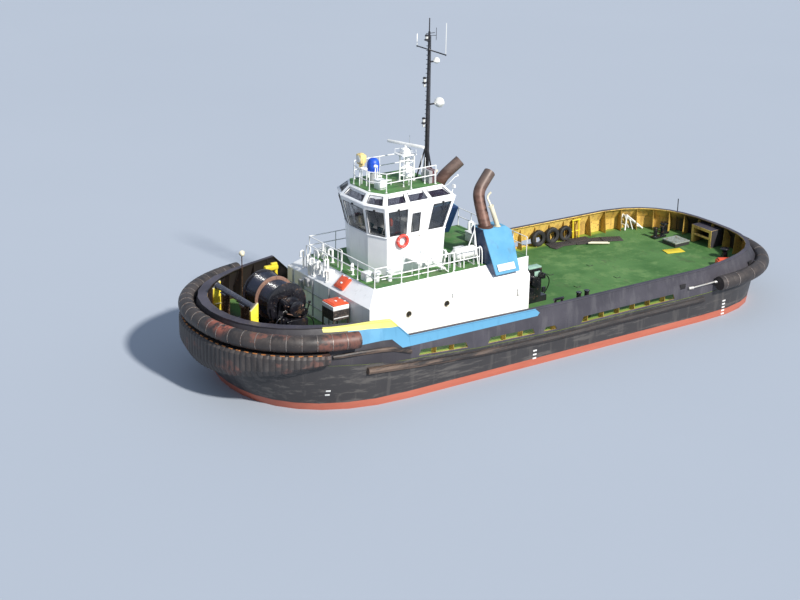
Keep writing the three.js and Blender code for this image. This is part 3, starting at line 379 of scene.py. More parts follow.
knuckle_section = [(-0.03, -0.11), (0.06, -0.10), (0.095, -0.04), (0.095, 0.04), (0.05, 0.10),
                   (-0.03, 0.11), (-0.03, -0.11)]
knuckle = [(9.4, 2.58), (9.9, 2.74), (10.4, 2.93), (11.3, 3.04), (12.4, 3.08), (13.3, 3.04), (13.74, 3.02)]
bm = bmesh.new()
for side in (1, -1):
    skin(bm, [section_at(*edge_at(x, side, 100), knuckle_section, z) for x, z in knuckle])
weld(bm, "knuckle_bars", strake_steel)

# BULWARKS
# Steel plate on stays round the whole deck, with a flat cap rail and freeing slots at its foot.
# Outside it is dark grey with a yellow and a blue band; inside it is ochre, near-black at the bow, and
# near-black at the stern end as painted shade.


def bulwark_look(start):
    place = start.place()
    x, y, z = place.axes()
    nx, ny, up = start.facing().axes()
    cloud = place.noise(0.5)
    fine = place.fine(8.0)
    streak = place.runs(2.4)
    middle = x.maths("MINIMUM", 9.0).maths("MAXIMUM", -10.0)
    outward = (nx * (x - middle) + ny * y).over(0.0, 0.02)
    grey = cloud.over(0.5, 0.2).tint((0.040, 0.037, 0.047), (0.064, 0.059, 0.072))
    grey = (streak.over(0.58, 0.1) * 0.45).tint(grey, (0.105, 0.10, 0.108))
    grey = (fine.over(0.63, 0.04) * 0.6).tint(grey, (0.024, 0.021, 0.024))
    grey = ((1 - x.over(-14.5, 3.0)) * 0.6).tint(grey, (0.018, 0.016, 0.018))
    grey = (x.over(9.4, 0.15) * 0.55).tint(grey, (0.018, 0.015, 0.017))
    # the raised bulwark has a lemon band over a sky-blue one, the low one a blue stripe with a pointed end
    lemon = (z - 4.03 - (x - 10.3) * 0.045).over(0.0, 0.008) * x.between(9.8, 13.95)
    sky_fore = z.over(3.43, 0.01) * x.between(10.2, 12.75)
    slant = (x - 9.91).maths("MAXIMUM", 0.0) * 0.9
    notch = (z - 2.88 - slant).over(0.0, 0.01) * x.between(9.5, 10.5, 0.01, 0.01)
    point = x - 1.08 - (z - 2.95).maths("ABSOLUTE") * 1.1
    stripe = (z - 2.81 - (x - 1.6) * 0.008).over(0.0, 0.008) * (1 - x.over(9.55, 0.02))
    sky = sky_fore.maths("MAXIMUM", notch).maths("MAXIMUM", stripe * point.over(0.0, 0.01))
    blue = (streak.over(0.6, 0.1) * 0.35).tint((0.105, 0.31, 0.49), (0.06, 0.20, 0.34))
    yellow = (streak.over(0.6, 0.1) * 0.3).tint((0.84, 0.80, 0.20), (0.62, 0.54, 0.10))
    outer = sky.tint(grey, blue)
    outer = lemon.tint(outer, yellow)
    ochre = cloud.over(0.48, 0.2).tint((0.60, 0.37, 0.075), (0.86, 0.58, 0.14))
    ochre = (streak.over(0.57, 0.1) * 0.6).tint(ochre, (0.24, 0.13, 0.05))
    ochre = (fine.over(0.6, 0.04) * 0.7).tint(ochre, (0.13, 0.07, 0.04))
    cap = cloud.over(0.5, 0.2).tint((0.034, 0.03, 0.042), (0.07, 0.062, 0.082))
    cap = (fine.over(0.6, 0.05) * 0.5).tint(cap, (0.12, 0.10, 0.09))
    on_cap = up.over(0.8, 0.03) * z.over(2.75, 0.03)
    # inside the raised bulwark is near-black, but for the ochre behind the staple; aft of x = -16.9 the
    # near-black inside is painted shade
    black_bow_shaded_stern = x.between(9.4, 16.3, 0.2, 0.12).maths("MAXIMUM", 1 - x.over(-16.9, 0.4))
    inside = black_bow_shaded_stern.tint(ochre, (0.022, 0.017, 0.016))
    faces = outward.tint(inside, outer)
    near_edge = lemon * on_cap * y.over(0.0, 0.1) * (y - 5.62 + (x - 10.0) * 0.145).over(0.0, 0.01)
    capped = on_cap.tint(faces, near_edge.tint(cap, yellow))
    return {
        "Base Color": capped,
        "Roughness": 0.4 + fine * 0.25,
        "Normal": (fine + cloud + streak * 0.5).bump(0.35, 0.012),
    }


bulwark_paint = finish("bulwark_paint", bulwark_look)
eased("bulwark_fore", bulwark_paint, edge=0.012)
eased("bulwark_aft", bulwark_paint, edge=0.012)


def thick_sheet(bm, corners, push):
    """Plate laid over an outline of corners and given its thickness by a push."""
    sheet = bmesh.ops.contextual_create(bm, geom=[bm.verts.new(corner) for corner in corners])["faces"]
    body = bmesh.ops.extrude_face_region(bm, geom=sheet)["geom"]
    pushed = [item for item in body if isinstance(item, bmesh.types.BMVert)]
    bmesh.ops.translate(bm, vec=push, verts=pushed)


def deck_at(x):
    """Height of the deck edge above the water."""
    sheer = [(-18.5, 1.95), (-11.0, 1.72), (0.0, 1.7), (5.0, 1.85), (10.0, 2.2), (13.0, 2.5), (18.5, 2.95)]
    for (x0, z0), (x1, z1) in zip(sheer, sheer[1:]):
        if x <= x1:
            return z0 + (z1 - z0) * (x - x0) / (x1 - x0)


def bracket(bm, foot, out, top, reach, lean, shelf):
    """Stay: a plate that narrows upwards from the deck to the underside of the cap."""
    inner, low = -0.11, deck_at(foot.x)
    outline = [(inner, low), (inner - reach, low), (inner - lean - shelf, top - 0.14),
               (inner - lean, top - 0.07), (inner, low + 0.7)]
    half_plate = Vector((-out.y, out.x, 0)) * 0.008
    thick_sheet(bm, section_at(foot - half_plate, out, outline), half_plate * 2)


def stay_look(start):
    place = start.place()
    cloud = place.noise(1.2)
    fine = place.fine(9.0)
    x = place.axes()[0]
    ochre = cloud.over(0.5, 0.2).tint((0.40, 0.24, 0.05), (0.62, 0.41, 0.09))
    ochre = x.between(9.2, 16.3, 0.3, 0.12).tint(ochre, (0.030, 0.022, 0.020))
    return {
        "Base Color": (fine.over(0.6, 0.05) * 0.8).tint(ochre, (0.13, 0.065, 0.035)),
        "Roughness": 0.5 + (fine - 0.5) * 0.3,
        "Normal": fine.bump(0.4, 0.006),
    }


def edge_run(bow, until, spacing):
    """Even steps round one end of the deck edge, from x = until at port to the same at starboard."""
    fine = [edge_point(bow, 1 - turn / 400) for turn in range(801)]
    lead = [(Vector((until, half_beam, 0)), Vector((0, 1, 0)))]
    tail = [(Vector((until, -half_beam, 0)), Vector((0, -1, 0)))]
    inside = (lambda x: x >= until) if bow else (lambda x: x <= until)
    fine = [pair for pair in fine if inside(pair[0].x)]
    if not inside(bow_curve[0] if bow else stern_curve[0]):
        lead, tail = [], []
    path = lead + fine + tail
    walked = [0.0]
    for (a, _), (b, _) in zip(path, path[1:]):
        walked.append(walked[-1] + (b - a).length)
    count = max(1, round(walked[-1] / spacing))
    run, k = [], 0
    for step in range(count + 1):
        goal = min(walked[-1], walked[-1] * step / count)
        while k < len(path) - 2 and walked[k + 1] < goal:
            k += 1
        share = (goal - walked[k]) / max(1e-9, walked[k + 1] - walked[k])
        spot = path[k][0].lerp(path[k + 1][0], share)
        run.append((spot, path[k][1].lerp(path[k + 1][1], share).normalized()))
    return run


def limited(value):
    """A number kept between 0 and 1."""
    return max(0.0, min(1.0, value))


def fore_lean(spot, out):
    """How far the raised bulwark leans inboard at its cap."""
    return 0.12 + limited((spot.x - 10.0) / 2.5) * (0.10 + 0.33 * abs(out.y))


stay_ochre = finish("stay_ochre", stay_look)
bm = bmesh.new()
for spot, out in edge_run(True, 9.9, 1.05)[1:-1]:
    top = min(4.44, 3.42 + (spot.x - 9.45) * 0.97)
    shelf = 0.06 + 0.26 * limited((spot.x - 12.0) / 4.0)
    bracket(bm, spot, out, top, 0.55, fore_lean(spot, out), shelf)
for spot, out in edge_run(False, -10.9, 1.15):
    astern = limited((-9.0 - spot.x) / 5.0)
    bracket(bm, spot, out, 3.05 + 0.2 * astern, 0.62, 0.12 + 0.28 * astern ** 1.3, 0.11)
for step in range(18):
    x = 8.9 - step * 1.12
    for side in (1, -1):
        bracket(bm, *edge_at(x, side), 3.05 + max(0.0, x + 6.0) * 0.024, 0.42, 0.12, 0.11)
weld(bm, "bulwark_stays", stay_ochre, sharp=20)

# FENDERS
# Hollow rubber rolls round the bow and the stern, moulded in lengths and strapped to the hull.
# A ribbed rubber block sits under the bow roll, held by a row of bolts along its top.


def near(wire, point, radius, soft=0.01):
    """1 within a radius of a point."""
    far = wire.add("VectorMath", {0: wire, 1: point}, out=1, operation="DISTANCE")
    return 1 - far.over(radius, soft)


def rubber_look(ribbed):
    """Worn rubber: brown-black, chalky on top, with red-brown scuffs; the roll has three red rubs."""

    def look(start):
        place = start.place()
        x = place.axes()[0]
        up = start.facing().axes()[2]
        cloud = place.noise(0.7)
        fine = place.fine(10.0)
        scuff = place.noise(0.42, 5.0, 0.6, (1.0, 1.0, 1.4))
        rub = place.fine(3.0, (1.0, 1.0, 0.4))
        coat = cloud.over(0.5, 0.2).tint((0.020, 0.017, 0.017), (0.048, 0.039, 0.036))
        coat = (up.over(0.35, 0.3) * rub.over(0.5, 0.12) * 0.5).tint(coat, (0.080, 0.064, 0.056))
        scuffed = scuff.over(0.585, 0.03) * rub.over(0.45, 0.1) * x.over(0.0, 0.5)
        coat = scuffed.tint(coat, (0.15, 0.062, 0.045))
        coat = (fine.over(0.64, 0.04) * 0.5).tint(coat, (0.14, 0.115, 0.10))
        if ribbed:
            coat = (rub.over(0.5, 0.2) * 0.5).tint(coat, (0.075, 0.068, 0.066))
        else:
            for x, y, size in ((17.5, 1.75, 0.62), (17.8, 1.0, 0.35), (15.6, 3.95, 0.55)):
                rubbed = near(place, (x, y, 4.1), size, 0.2) * (rub + scuff).over(0.95, 0.12)
                coat = rubbed.tint(coat, (0.36, 0.10, 0.06))
        return {
            "Base Color": coat,
            "Roughness": 0.5 + (rub - 0.5) * 0.4,
            "Normal": (fine * 0.6 + rub).bump(0.5, 0.02),
        }

    return look


roll_rubber = finish("roll_rubber", rubber_look(False))
block_rubber = finish("block_rubber", rubber_look(True))


def roll(bm, run, out, level, radius, dip, joints, plate):
    """Tube along the deck edge, pinched at its joints and cut flat where it lies on the plate inside it."""
    rings = []
    for step, (spot, away) in enumerate(run):
        fat = radius - dip * max(0.0, 1 - min(step % joints, joints - step % joints) / 1.2)
        ring = []
        for k in range(25):
            angle = 2 * pi * k / 24
            z = level + fat * sin(angle)
            across = max(out + fat * cos(angle), plate(spot, away, z))
            ring.append(spot + away * across + Vector((0, 0, z)))
        rings.append(ring)
    skin(bm, rings)


def fore_plate(spot, away, z):
    """Outer face of the raised bulwark, which stands upright to its knee and leans in above it."""
    knee = deck_at(spot.x) + 0.7
    return -0.005 - fore_lean(spot, away) * limited((z - knee) / (4.38 - knee))


bow_run = edge_run(True, 12.51, 0.1)
bow_joints = 7
bow_out, bow_level = 0.22, 3.90
bm = bmesh.new()
roll(bm, bow_run, bow_out, bow_level, 0.432, 0.02, bow_joints, fore_plate)
weld(bm, "bow_roll", roll_rubber, replaces=("fender_bow_roll",), sharp=50)


def strap(bm, spot, away, out, level, radius, half, proud, turns):
    """Flat steel band over a fender roll, from its inner top round to its underside."""
    along = Vector((-away.y, away.x, 0)) * half
    rings = []
    for k in range(2, 15):
        angle = pi * (turns[0] - turns[1] * k / 14)
        middle = spot + away * (out + radius * cos(angle)) + Vector((0, 0, level + radius * sin(angle)))
        rise = (away * cos(angle) + Vector((0, 0, sin(angle)))) * proud
        one, other = middle - along, middle + along
        rings.append([one, one + rise, other + rise, other, one])
    skin(bm, rings)


strap_steel = paint("strap_steel", (0.30, 0.27, 0.25), rough=0.5, chip=(0.16, 0.08, 0.05), chipped=0.55,
                    metal=0.5)
bm = bmesh.new()
for step in range(bow_joints, len(bow_run) - bow_joints // 2, bow_joints):
    strap(bm, *bow_run[step], bow_out, bow_level, 0.41, 0.014, 0.024, (0.98, 1.22))
weld(bm, "bow_roll_straps", strap_steel)

bm = bmesh.new()
block_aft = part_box("fender_bow_block")[0][0] + 0.01
block_top = 3.325
rings = []
for step, (spot, away) in enumerate(edge_run(True, block_aft, 0.0935)):
    groove = 0.05 if step % 3 == 0 else 0.0
    foot = 1.655 + 0.44 * max(0.0, 17.7 - spot.x) ** 0.7
    slant = foot + (block_top - foot) * 0.3
    section = [(-0.02, foot + 0.1), (0.37 - groove, foot), (0.63 - groove, slant),
               (0.635 - groove, block_top - 0.13), (0.52 - groove, block_top - 0.005), (-0.02, block_top),
               (-0.02, foot + 0.1)]
    rings.append(section_at(spot, away, section))
skin(bm, rings)
weld(bm, "bow_block", block_rubber, replaces=("fender_bow_block",), sharp=28)

rust_orange = paint("rust_orange", (0.50, 0.19, 0.05), rough=0.7, chip=(0.12, 0.06, 0.04), chipped=0.55)
bm = bmesh.new()
for spot, away in edge_run(True, block_aft + 0.1, 0.42)[1:-1]:
    seat = plate_at(spot + away * 0.45 + Vector((0, 0, block_top)), away)
    block(bm, (-0.12, -0.035, -0.02), (0.12, 0.035, 0.03), 0.008, seat)
weld(bm, "bow_block_bolts", rust_orange)

stern_run = edge_run(False, -11.55, 0.14)
stern_joints = 9
stern_out, stern_level = 0.385, 2.32
bm = bmesh.new()
roll(bm, stern_run, stern_out, stern_level, 0.412, 0.014, stern_joints, lambda spot, away, z: 0.01)
weld(bm, "stern_roll", roll_rubber, replaces=("fender_stern_roll",), sharp=50)

bm = bmesh.new()
for step in [2] + list(range(stern_joints, len(stern_run) - 4, stern_joints)) + [len(stern_run) - 3]:
    strap(bm, *stern_run[step], stern_out, stern_level, 0.398, 0.02, 0.018, (0.94, 1.3))
weld(bm, "stern_roll_straps", strap_steel)


def bar(bm, start, end, radius, sides=10):
    """Round bar between two points."""
    start, end = Vector(start), Vector(end)
    along = end - start
    fit = Matrix.Translation((start + end) / 2) @ along.to_track_quat("Z", "Y").to_matrix().to_4x4()
    bmesh.ops.create_cone(bm, cap_ends=True, segments=sides, radius1=radius, radius2=radius,
                          depth=along.length, matrix=fit)


def bars(bm, rows):
    """Several bars, each given by its ends, its radius and its number of sides."""
    for start, end, radius, sides in rows:
        bar(bm, start, end, radius, sides)


bright_steel = paint("bright_steel", (0.62, 0.60, 0.56), rough=0.4, chip=(0.30, 0.17, 0.09), chipped=0.6,
                     metal=0.55)
bm = bmesh.new()
for side in (1, -1):
    bars(bm, [((-9.62, side * 6.07, 2.30), (-11.5, side * 6.12, 2.36), 0.045, 12),
              ((-9.55, side * 6.03, 2.30), (-9.85, side * 6.08, 2.31), 0.085, 14),
              ((-11.45, side * 6.12, 2.36), (-11.62, side * 6.2, 2.36), 0.075, 12)])
weld(bm, "stern_roll_stretchers", bright_steel)

dark_hole = paint("dark_hole", (0.012, 0.011, 0.012), rough=0.8)
bm = bmesh.new()
for side in (1, -1):
    for x, z in ((-9.15, 2.45), (-15.0, 2.62)):
        base, out = edge_at(x, side, 200)
        seat = plate_at(base + Vector((0, 0, z)), out)
        block(bm, (-0.21, -0.05, -0.15), (0.21, -0.012, 0.15), 0.03, seat)
weld(bm, "fairlead_openings", dark_hole)

# DECKHOUSE
# One welded steel shell, white outside with sloped shoulders, and green non-slip paint on top.
# The aft door hangs on three hinges; the portholes are round glasses in bolted rims.


def white_look(green_from, rust=0.5):
    """White enamel with rust weeping from its seams; above a height, what faces up is non-slip green."""

    def look(start):
        place = start.place()
        z = place.axes()[2]
        up = start.facing().axes()[2]
        cloud = place.noise(0.8)
        fine = place.fine(11.0)
        streak = place.runs(3.2, 0.09)
        spots = place.noise(1.3, 6.0, 0.75)
        coat = cloud.over(0.5, 0.25).tint((0.84, 0.845, 0.85), (0.91, 0.91, 0.905))
        coat = (streak.over(0.63, 0.1) * 0.35).tint(coat, (0.52, 0.51, 0.50))
        coat = (spots.over(0.69, 0.03) * streak.over(0.5, 0.1) * rust).tint(coat, (0.35, 0.17, 0.08))
        coat = (fine.over(0.7, 0.03) * rust).tint(coat, (0.45, 0.36, 0.30))
        deck = cloud.over(0.5, 0.2).tint((0.040, 0.14, 0.030), (0.085, 0.22, 0.06))
        deck = (spots.over(0.55, 0.06) * 0.6).tint(deck, (0.13, 0.17, 0.08))
        deck = (fine.over(0.63, 0.03) * 0.5).tint(deck, (0.28, 0.29, 0.22))
        deck_mask = up.over(0.93, 0.02) * z.over(green_from, 0.02)
        return {
            "Base Color": deck_mask.tint(coat, deck),
            "Roughness": 0.34 + (cloud - 0.5) * 0.2 + deck_mask * 0.35,
            "Normal": (fine * 0.5 + cloud + streak * 0.3).bump(0.22, 0.008),
        }

    return look


house_white = finish("house_white", white_look(5.0))
eased("house", house_white, edge=0.02)
fitting_white = finish("fitting_white", white_look(90.0, 0.7))


def lathe(bm, profile, place=None, steps=20):
    """Profile of radius and height spun round Z, its poles closed, then put in place by a matrix."""
    old = set(bm.verts)
    line = [bm.verts.new((radius, 0.0, height)) for radius, height in profile]
    edges = [bm.edges.new(pair) for pair in zip(line, line[1:])]
    bmesh.ops.spin(bm, geom=line + edges, cent=(0, 0, 0), axis=(0, 0, 1), angle=2 * pi, steps=steps,
                   use_merge=True)
    made = [vert for vert in bm.verts if vert not in old]
    bmesh.ops.remove_doubles(bm, verts=made, dist=0.00002)
    made = [vert for vert in bm.verts if vert not in old]
    if place is not None:
        bmesh.ops.transform(bm, matrix=place, verts=made)
    return made


def aimed(spot, direction):
    """Matrix that stands a lathed piece on a spot, its axis along a direction."""
    turn = Vector(direction).to_track_quat("Z", "Y").to_matrix().to_4x4()
    return Matrix.Translation(Vector(spot)) @ turn


def at(x, y, z):
    """Matrix that moves a piece to a spot."""
    return Matrix.Translation((x, y, z))


def ring_of_bolts(bm, place, radius, count, size=0.014):
    for k in range(count):
        angle = 2 * pi * k / count
        spot = place @ at(radius * cos(angle), radius * sin(angle), 0)
        bmesh.ops.create_cone(bm, cap_ends=True, segments=6, radius1=size, radius2=size * 0.8,
                              depth=size * 1.6, matrix=spot)


def blocks(bm, rows, place=None):
    """Several boxes, each given by two corners and how soft its edges are."""
    for low, high, soft in rows:
        block(bm, low, high, soft, place)


def sided(bm, side, low, high, soft):
    """Box whose corners are given for the port side, made there or mirrored to starboard."""
    right, left = sorted((side * low[1], side * high[1]))
    block(bm, (low[0], right, low[2]), (high[0], left, high[2]), soft)


eased("house_door", fitting_white, "house_door", edge=0.008)
house_side = 4.0
port_seats = []
for x, z in ((8.2, 3.7), (5.8, 3.8)):
    for side in (1, -1):
        port_seats.append(aimed((x, side * house_side, z), (0, side, 0)))
brass = paint("brass", (0.42, 0.36, 0.24), rough=0.4, chip=(0.2, 0.15, 0.08), metal=0.7)
bm = bmesh.new()
for seat in port_seats:
    lathe(bm, [(0.142, -0.03), (0.142, 0.034), (0.150, 0.040), (0.172, 0.036), (0.176, 0.01)], seat, 28)
    ring_of_bolts(bm, seat @ at(0, 0, 0.038), 0.161, 10, 0.007)
weld(bm, "porthole_rims", brass)
bm = bmesh.new()
for seat in port_seats:
    lathe(bm, [(0.165, -0.02), (0.165, 0.014), (0.172, 0.020), (0.226, 0.016), (0.232, -0.002),
               (0.232, -0.02), (0.165, -0.02)], seat, 28)
weld(bm, "porthole_flanges", fitting_white)

dark_glass = finish("dark_glass", lambda start: {
    "Base Color": start.place().noise(3.0).tint((0.006, 0.008, 0.012), (0.02, 0.026, 0.036)),
    "Roughness": 0.06,
    "Specular IOR Level": 0.8,
})
bm = bmesh.new()
for seat in port_seats:
    lathe(bm, [(0, -0.012), (0.1, -0.012), (0.166, -0.014), (0.166, -0.026), (0, -0.026)], seat, 24)
weld(bm, "porthole_glasses", dark_glass)

# Hose boxes, a drip bar and the aft door's coaming are welded or bolted to the shell.
# All are plain steel painted with the house; the labels that such boxes have are left bare.
bm = bmesh.new()
for x, z, wide, tall in ((5.35, 4.22, 0.10, 0.11), (1.0, 3.55, 0.13, 0.18), (9.6, 3.0, 0.10, 0.13)):
    for side in (1, -1):
        sided(bm, side, (x - wide, house_side, z - tall), (x + wide, 4.07, z + tall), 0.02)
        sided(bm, side, (x - wide - 0.01, 4.068, z - tall - 0.01), (x + wide + 0.01, 4.08, z + tall + 0.01),
              0.005)
for side in (1, -1):
    sided(bm, side, (0.34, house_side, 4.36), (10.56, 4.012, 4.38), 0.004)
weld(bm, "house_fittings", fitting_white)

bm = bmesh.new()
blocks(bm, [((0.262, 2.02, 1.88), (0.302, 2.10, 3.73), 0.006),
            ((0.262, 2.874, 1.88), (0.302, 2.94, 3.73), 0.006),
            ((0.262, 2.02, 3.652), (0.302, 2.93, 3.73), 0.006)])
for z in (2.2, 2.8, 3.4):
    bar(bm, (0.285, 2.880, z - 0.07), (0.285, 2.880, z + 0.07), 0.016, 8)
weld(bm, "house_door_frame", fitting_white)
bm = bmesh.new()
for z, turned_to in ((2.15, 0.5), (2.8, -0.4), (3.45, 0.6)):
    grip = at(0.285, 2.17, z) @ Matrix.Rotation(turned_to, 4, "X")
    block(bm, (-0.012, -0.02, -0.1), (0.012, 0.02, 0.1), 0.006, grip)
    bar(bm, (0.272, 2.17, z), (0.302, 2.17, z), 0.02, 10)
lathe(bm, [(0.0, 0.004), (0.11, 0.004), (0.12, 0.012), (0.14, 0.012), (0.15, 0.0), (0.15, -0.004),
           (0, -0.004)], aimed((0.298, 2.47, 3.15), (-1, 0, 0)), 24)
weld(bm, "house_door_clips", brass, "house_door")

# Two orange-red hatch lids lie on the front slope and on the foredeck locker; both are moulded plastic.
# Each has a raised rim, two hinges and a hasp, and it has faded where the sun reaches it.
lid_orange = paint("lid_orange", (0.80, 0.105, 0.035), rough=0.4, chip=(0.9, 0.45, 0.3), chipped=0.7)


def locker_look(start):
    place = start.place()
    z = place.axes()[2]
    fine = place.fine(9.0)
    coat = fine.over(0.62, 0.05).tint((0.86, 0.86, 0.85), (0.45, 0.36, 0.30))
    below = fine.over(0.55, 0.1).tint((0.030, 0.026, 0.026), (0.11, 0.085, 0.07))
    return {
        "Base Color": (z + (fine - 0.5) * 0.05).over(3.97, 0.02).tint(below, coat),
        "Roughness": 0.42 + fine * 0.2,
        "Normal": fine.bump(0.3, 0.008),
    }


eased("locker_white", finish("locker_rim", locker_look), edge=0.02)
slope = at(10.2, 0.0, 4.75) @ Matrix.Rotation(radians(41.2), 4, "Y")
bm = bmesh.new()
blocks(bm, [((-0.42, 0.42, 0.0), (0.32, 1.28, 0.10), 0.03),
            ((-0.34, 0.50, 0.095), (0.24, 1.20, 0.125), 0.02)], slope)
blocks(bm, [((10.68, 1.12, 4.182), (11.62, 2.22, 4.235), 0.02),
            ((10.80, 1.26, 4.232), (11.50, 2.08, 4.262), 0.02)])
weld(bm, "orange_lids", lid_orange)
bm = bmesh.new()
for y in (0.6, 1.1):
    block(bm, (-0.45, y - 0.05, 0.0), (-0.36, y + 0.05, 0.115), 0.01, slope)
    block(bm, (10.66, y + 0.7, 4.18), (10.76, y + 0.8, 4.25), 0.01)
block(bm, (-0.05, 0.80, 0.12), (0.05, 0.95, 0.15), 0.01, slope)
block(bm, (11.1, 1.6, 4.258), (11.2, 1.75, 4.285), 0.01)
for z in (3.55, 4.05):
    block(bm, (10.73, 2.25, z - 0.02), (11.62, 2.258, z + 0.02), 0.003)
weld(bm, "lid_hinges", fitting_white)

# WHEELHOUSE
# Steel trunk with leaning window frames above it, a door each side, and a roof with a ring of sky windows.
# The glazing is dark tinted glass in black rubber seals; wipers and their motors sit over the front panes.
trunk_white = finish("trunk_white", white_look(90.0, 0.35))
eased("wheelhouse_trunk", trunk_white, edge=0.015)
eased("wheelhouse_frame", trunk_white, edge=0.018)
eased_pair("wheelhouse_door", fitting_white, True, 0.008)
eased("wheelhouse_roof", finish("roof_white", white_look(9.46, 0.3)), edge=0.02)


def glass_look(shade):
    """Tinted wheelhouse glass with faint dust on it."""

    def look(start):
        place = start.place()
        dust = place.noise(2.2, 5.0, 0.6)
        return {
            "Base Color": dust.tint(tuple(c * 0.8 for c in shade), shade),
            "Roughness": 0.04 + dust.over(0.6, 0.1) * 0.05,
            "Alpha": 0.28 + dust * 0.12,
            "Specular IOR Level": 0.8,
            "Coat Weight": 1.0,
            "Coat Roughness": 0.02,
        }

    return look


window_glass = finish("window_glass", glass_look((0.035, 0.042, 0.055)))
sky_glass = finish("sky_glass", glass_look((0.030, 0.018, 0.045)))
eased("glazing_fore", window_glass)
eased("glazing_aft", window_glass)
eased("glazing_sky", sky_glass)

sill_plan = [(8.70, 0.90), (8.24, 2.00), (4.60, 2.05)]
eaves_plan = [(9.10, 1.08), (8.56, 2.24), (4.08, 2.20)]
roof_plan = [(8.65, 0.88), (8.16, 1.69), (4.57, 1.65)]


def all_round(plan, z):
    """Six corners of the wheelhouse at one level, port side first."""
    return [Vector((x, y, z)) for x, y in plan + [(x, -y) for x, y in reversed(plan)]]


sill_ring, eaves_ring = all_round(sill_plan, 7.2), all_round(eaves_plan, 8.83)
sky_low, sky_high = all_round(eaves_plan, 8.96), all_round(roof_plan, 9.48)
rubber_black = paint("rubber_black", (0.02, 0.02, 0.022), rough=0.6, chip=(0.07, 0.07, 0.07), chipped=0.7)


def on_face(low, high, side, along, height):
    """Frame on a leaning face: X runs along it, Z up it and Y out of it."""
    foot, foot_end = low[side], low[(side + 1) % 6]
    head, head_end = high[side], high[(side + 1) % 6]
    spot = foot.lerp(foot_end, along).lerp(head.lerp(head_end, along), height)
    run = (foot_end - foot).normalized()
    out = run.cross(head.lerp(head_end, 0.5) - foot.lerp(foot_end, 0.5)).normalized()
    up = out.cross(run).normalized()
    if out.dot(Vector((spot.x - 6.4, spot.y, 0))) < 0:
        out = -out
    return Matrix.Translation(spot) @ Matrix((run, out, up)).transposed().to_4x4()


def seal(bm, low, high, side, span, rise, width=0.035):
    """Rubber frame of four flat strips round one pane."""
    proud = 0.012
    round_pane = ((span[0], rise[0]), (span[1], rise[0]), (span[1], rise[1]), (span[0], rise[1]))
    corners = [on_face(low, high, side, *spot) @ Vector((0, proud - 0.006, 0)) for spot in round_pane]
    out = on_face(low, high, side, 0.5, 0.5).to_3x3() @ Vector((0, 1, 0))
    middle = sum(corners, Vector()) / 4
    inner = [corner.lerp(middle, width / (middle - corner).length) for corner in corners]
    rings = []
    for k in (0, 1, 2, 3, 0):
        a, b = corners[k], inner[k]
        rings.append([a - out * proud, a + out * 0.006, b + out * 0.006, b - out * proud, a - out * proud])
    skin(bm, rings)


panes = [(0, 0.08, 0.92), (1, 0.05, 0.33), (1, 0.70, 0.96), (2, 0.05, 0.34), (2, 0.37, 0.63),
         (2, 0.66, 0.95), (3, 0.04, 0.30), (3, 0.67, 0.95), (4, 0.08, 0.92), (5, 0.06, 0.94)]
sky_panes = [(0, 0.12, 0.88), (1, 0.04, 0.30), (1, 0.36, 0.62), (1, 0.68, 0.96), (3, 0.04, 0.32),
             (3, 0.38, 0.64), (3, 0.70, 0.96), (4, 0.12, 0.88), (5, 0.10, 0.90)]
bm = bmesh.new()
for side, start, end in panes:
    seal(bm, sill_ring, eaves_ring, side, (start, end), (0.043, 0.896))
for side, start, end in sky_panes:
    seal(bm, sky_low, sky_high, side, (start, end), (0.15, 0.80), 0.03)
weld(bm, "window_seals", rubber_black, sharp=20)

aft_face = 2
bm = bmesh.new()
for side, start, end in panes:
    if side != aft_face:
        head = on_face(sill_ring, eaves_ring, side, (start + end) / 2, 0.93)
        block(bm, (-0.06, 0.0, -0.03), (0.06, 0.05, 0.04), 0.01, head)
        bar(bm, head @ Vector((0, 0.06, 0)), head @ Vector((0.12, 0.045, -0.62)), 0.012, 6)
        blade = head @ at(0.12, 0.035, -0.62) @ Matrix.Rotation(radians(10), 4, "Y")
        block(bm, (-0.01, -0.012, -0.35), (0.01, 0.012, 0.35), 0.004, blade)
weld(bm, "wipers", rubber_black)

# Round beads run along the sill, broken where the doors are, and along the eaves.
sill_bead = all_round([(8.72, 0.91), (8.255, 2.015), (4.585, 2.065)], 7.2)
eaves_bead = all_round([(9.11, 1.085), (8.568, 2.25), (4.07, 2.21)], 8.9)
sill_breaks = {1: [(0, 0.355), (0.60, 1)], 3: [(0, 0.40), (0.645, 1)]}
bm = bmesh.new()
for ring, breaks in ((sill_bead, sill_breaks), (eaves_bead, {})):
    for k in range(6):
        a, b = ring[k], ring[(k + 1) % 6]
        for begin, stop in breaks.get(k, [(0, 1)]):
            bar(bm, a.lerp(b, begin), a.lerp(b, stop), 0.028, 8)
weld(bm, "wheelhouse_beads", trunk_white)

# The doors carry a coaming, hinges and a lever each; their glass sits in the upper half.
for name, side in (("port", 1), ("starboard", -1)):
    body = "wheelhouse_door_" + name
    lean = at(6.5, side * 2.03, 7.35) @ Matrix.Rotation(side * radians(-6.5), 4, "X")
    bm = bmesh.new()
    block(bm, (-0.245, -0.028, -0.03), (0.245, 0.004, 0.985), 0.0, lean)
    weld(bm, body + "_glass", window_glass, body)
    bm = bmesh.new()
    for x0, x1, z0, z1 in ((-0.27, -0.232, -0.06, 1.01), (0.232, 0.27, -0.06, 1.01),
                           (-0.27, 0.27, -0.06, -0.02), (-0.27, 0.27, 0.975, 1.012)):
        block(bm, (x0, -0.035, z0), (x1, 0.012, z1), 0.006, lean)
    weld(bm, body + "_seal", rubber_black, body)
    bm = bmesh.new()
    sided(bm, side, (6.17, 1.975, 6.98), (6.23, 2.015, 7.16), 0.01)
    bar(bm, (6.20, side * 2.0, 7.07), (6.20, side * 2.075, 7.07), 0.018, 8)
    bar(bm, (6.19, side * 2.07, 7.07), (6.33, side * 2.07, 7.05), 0.014, 8)
    weld(bm, body + "_lever", brass, body)

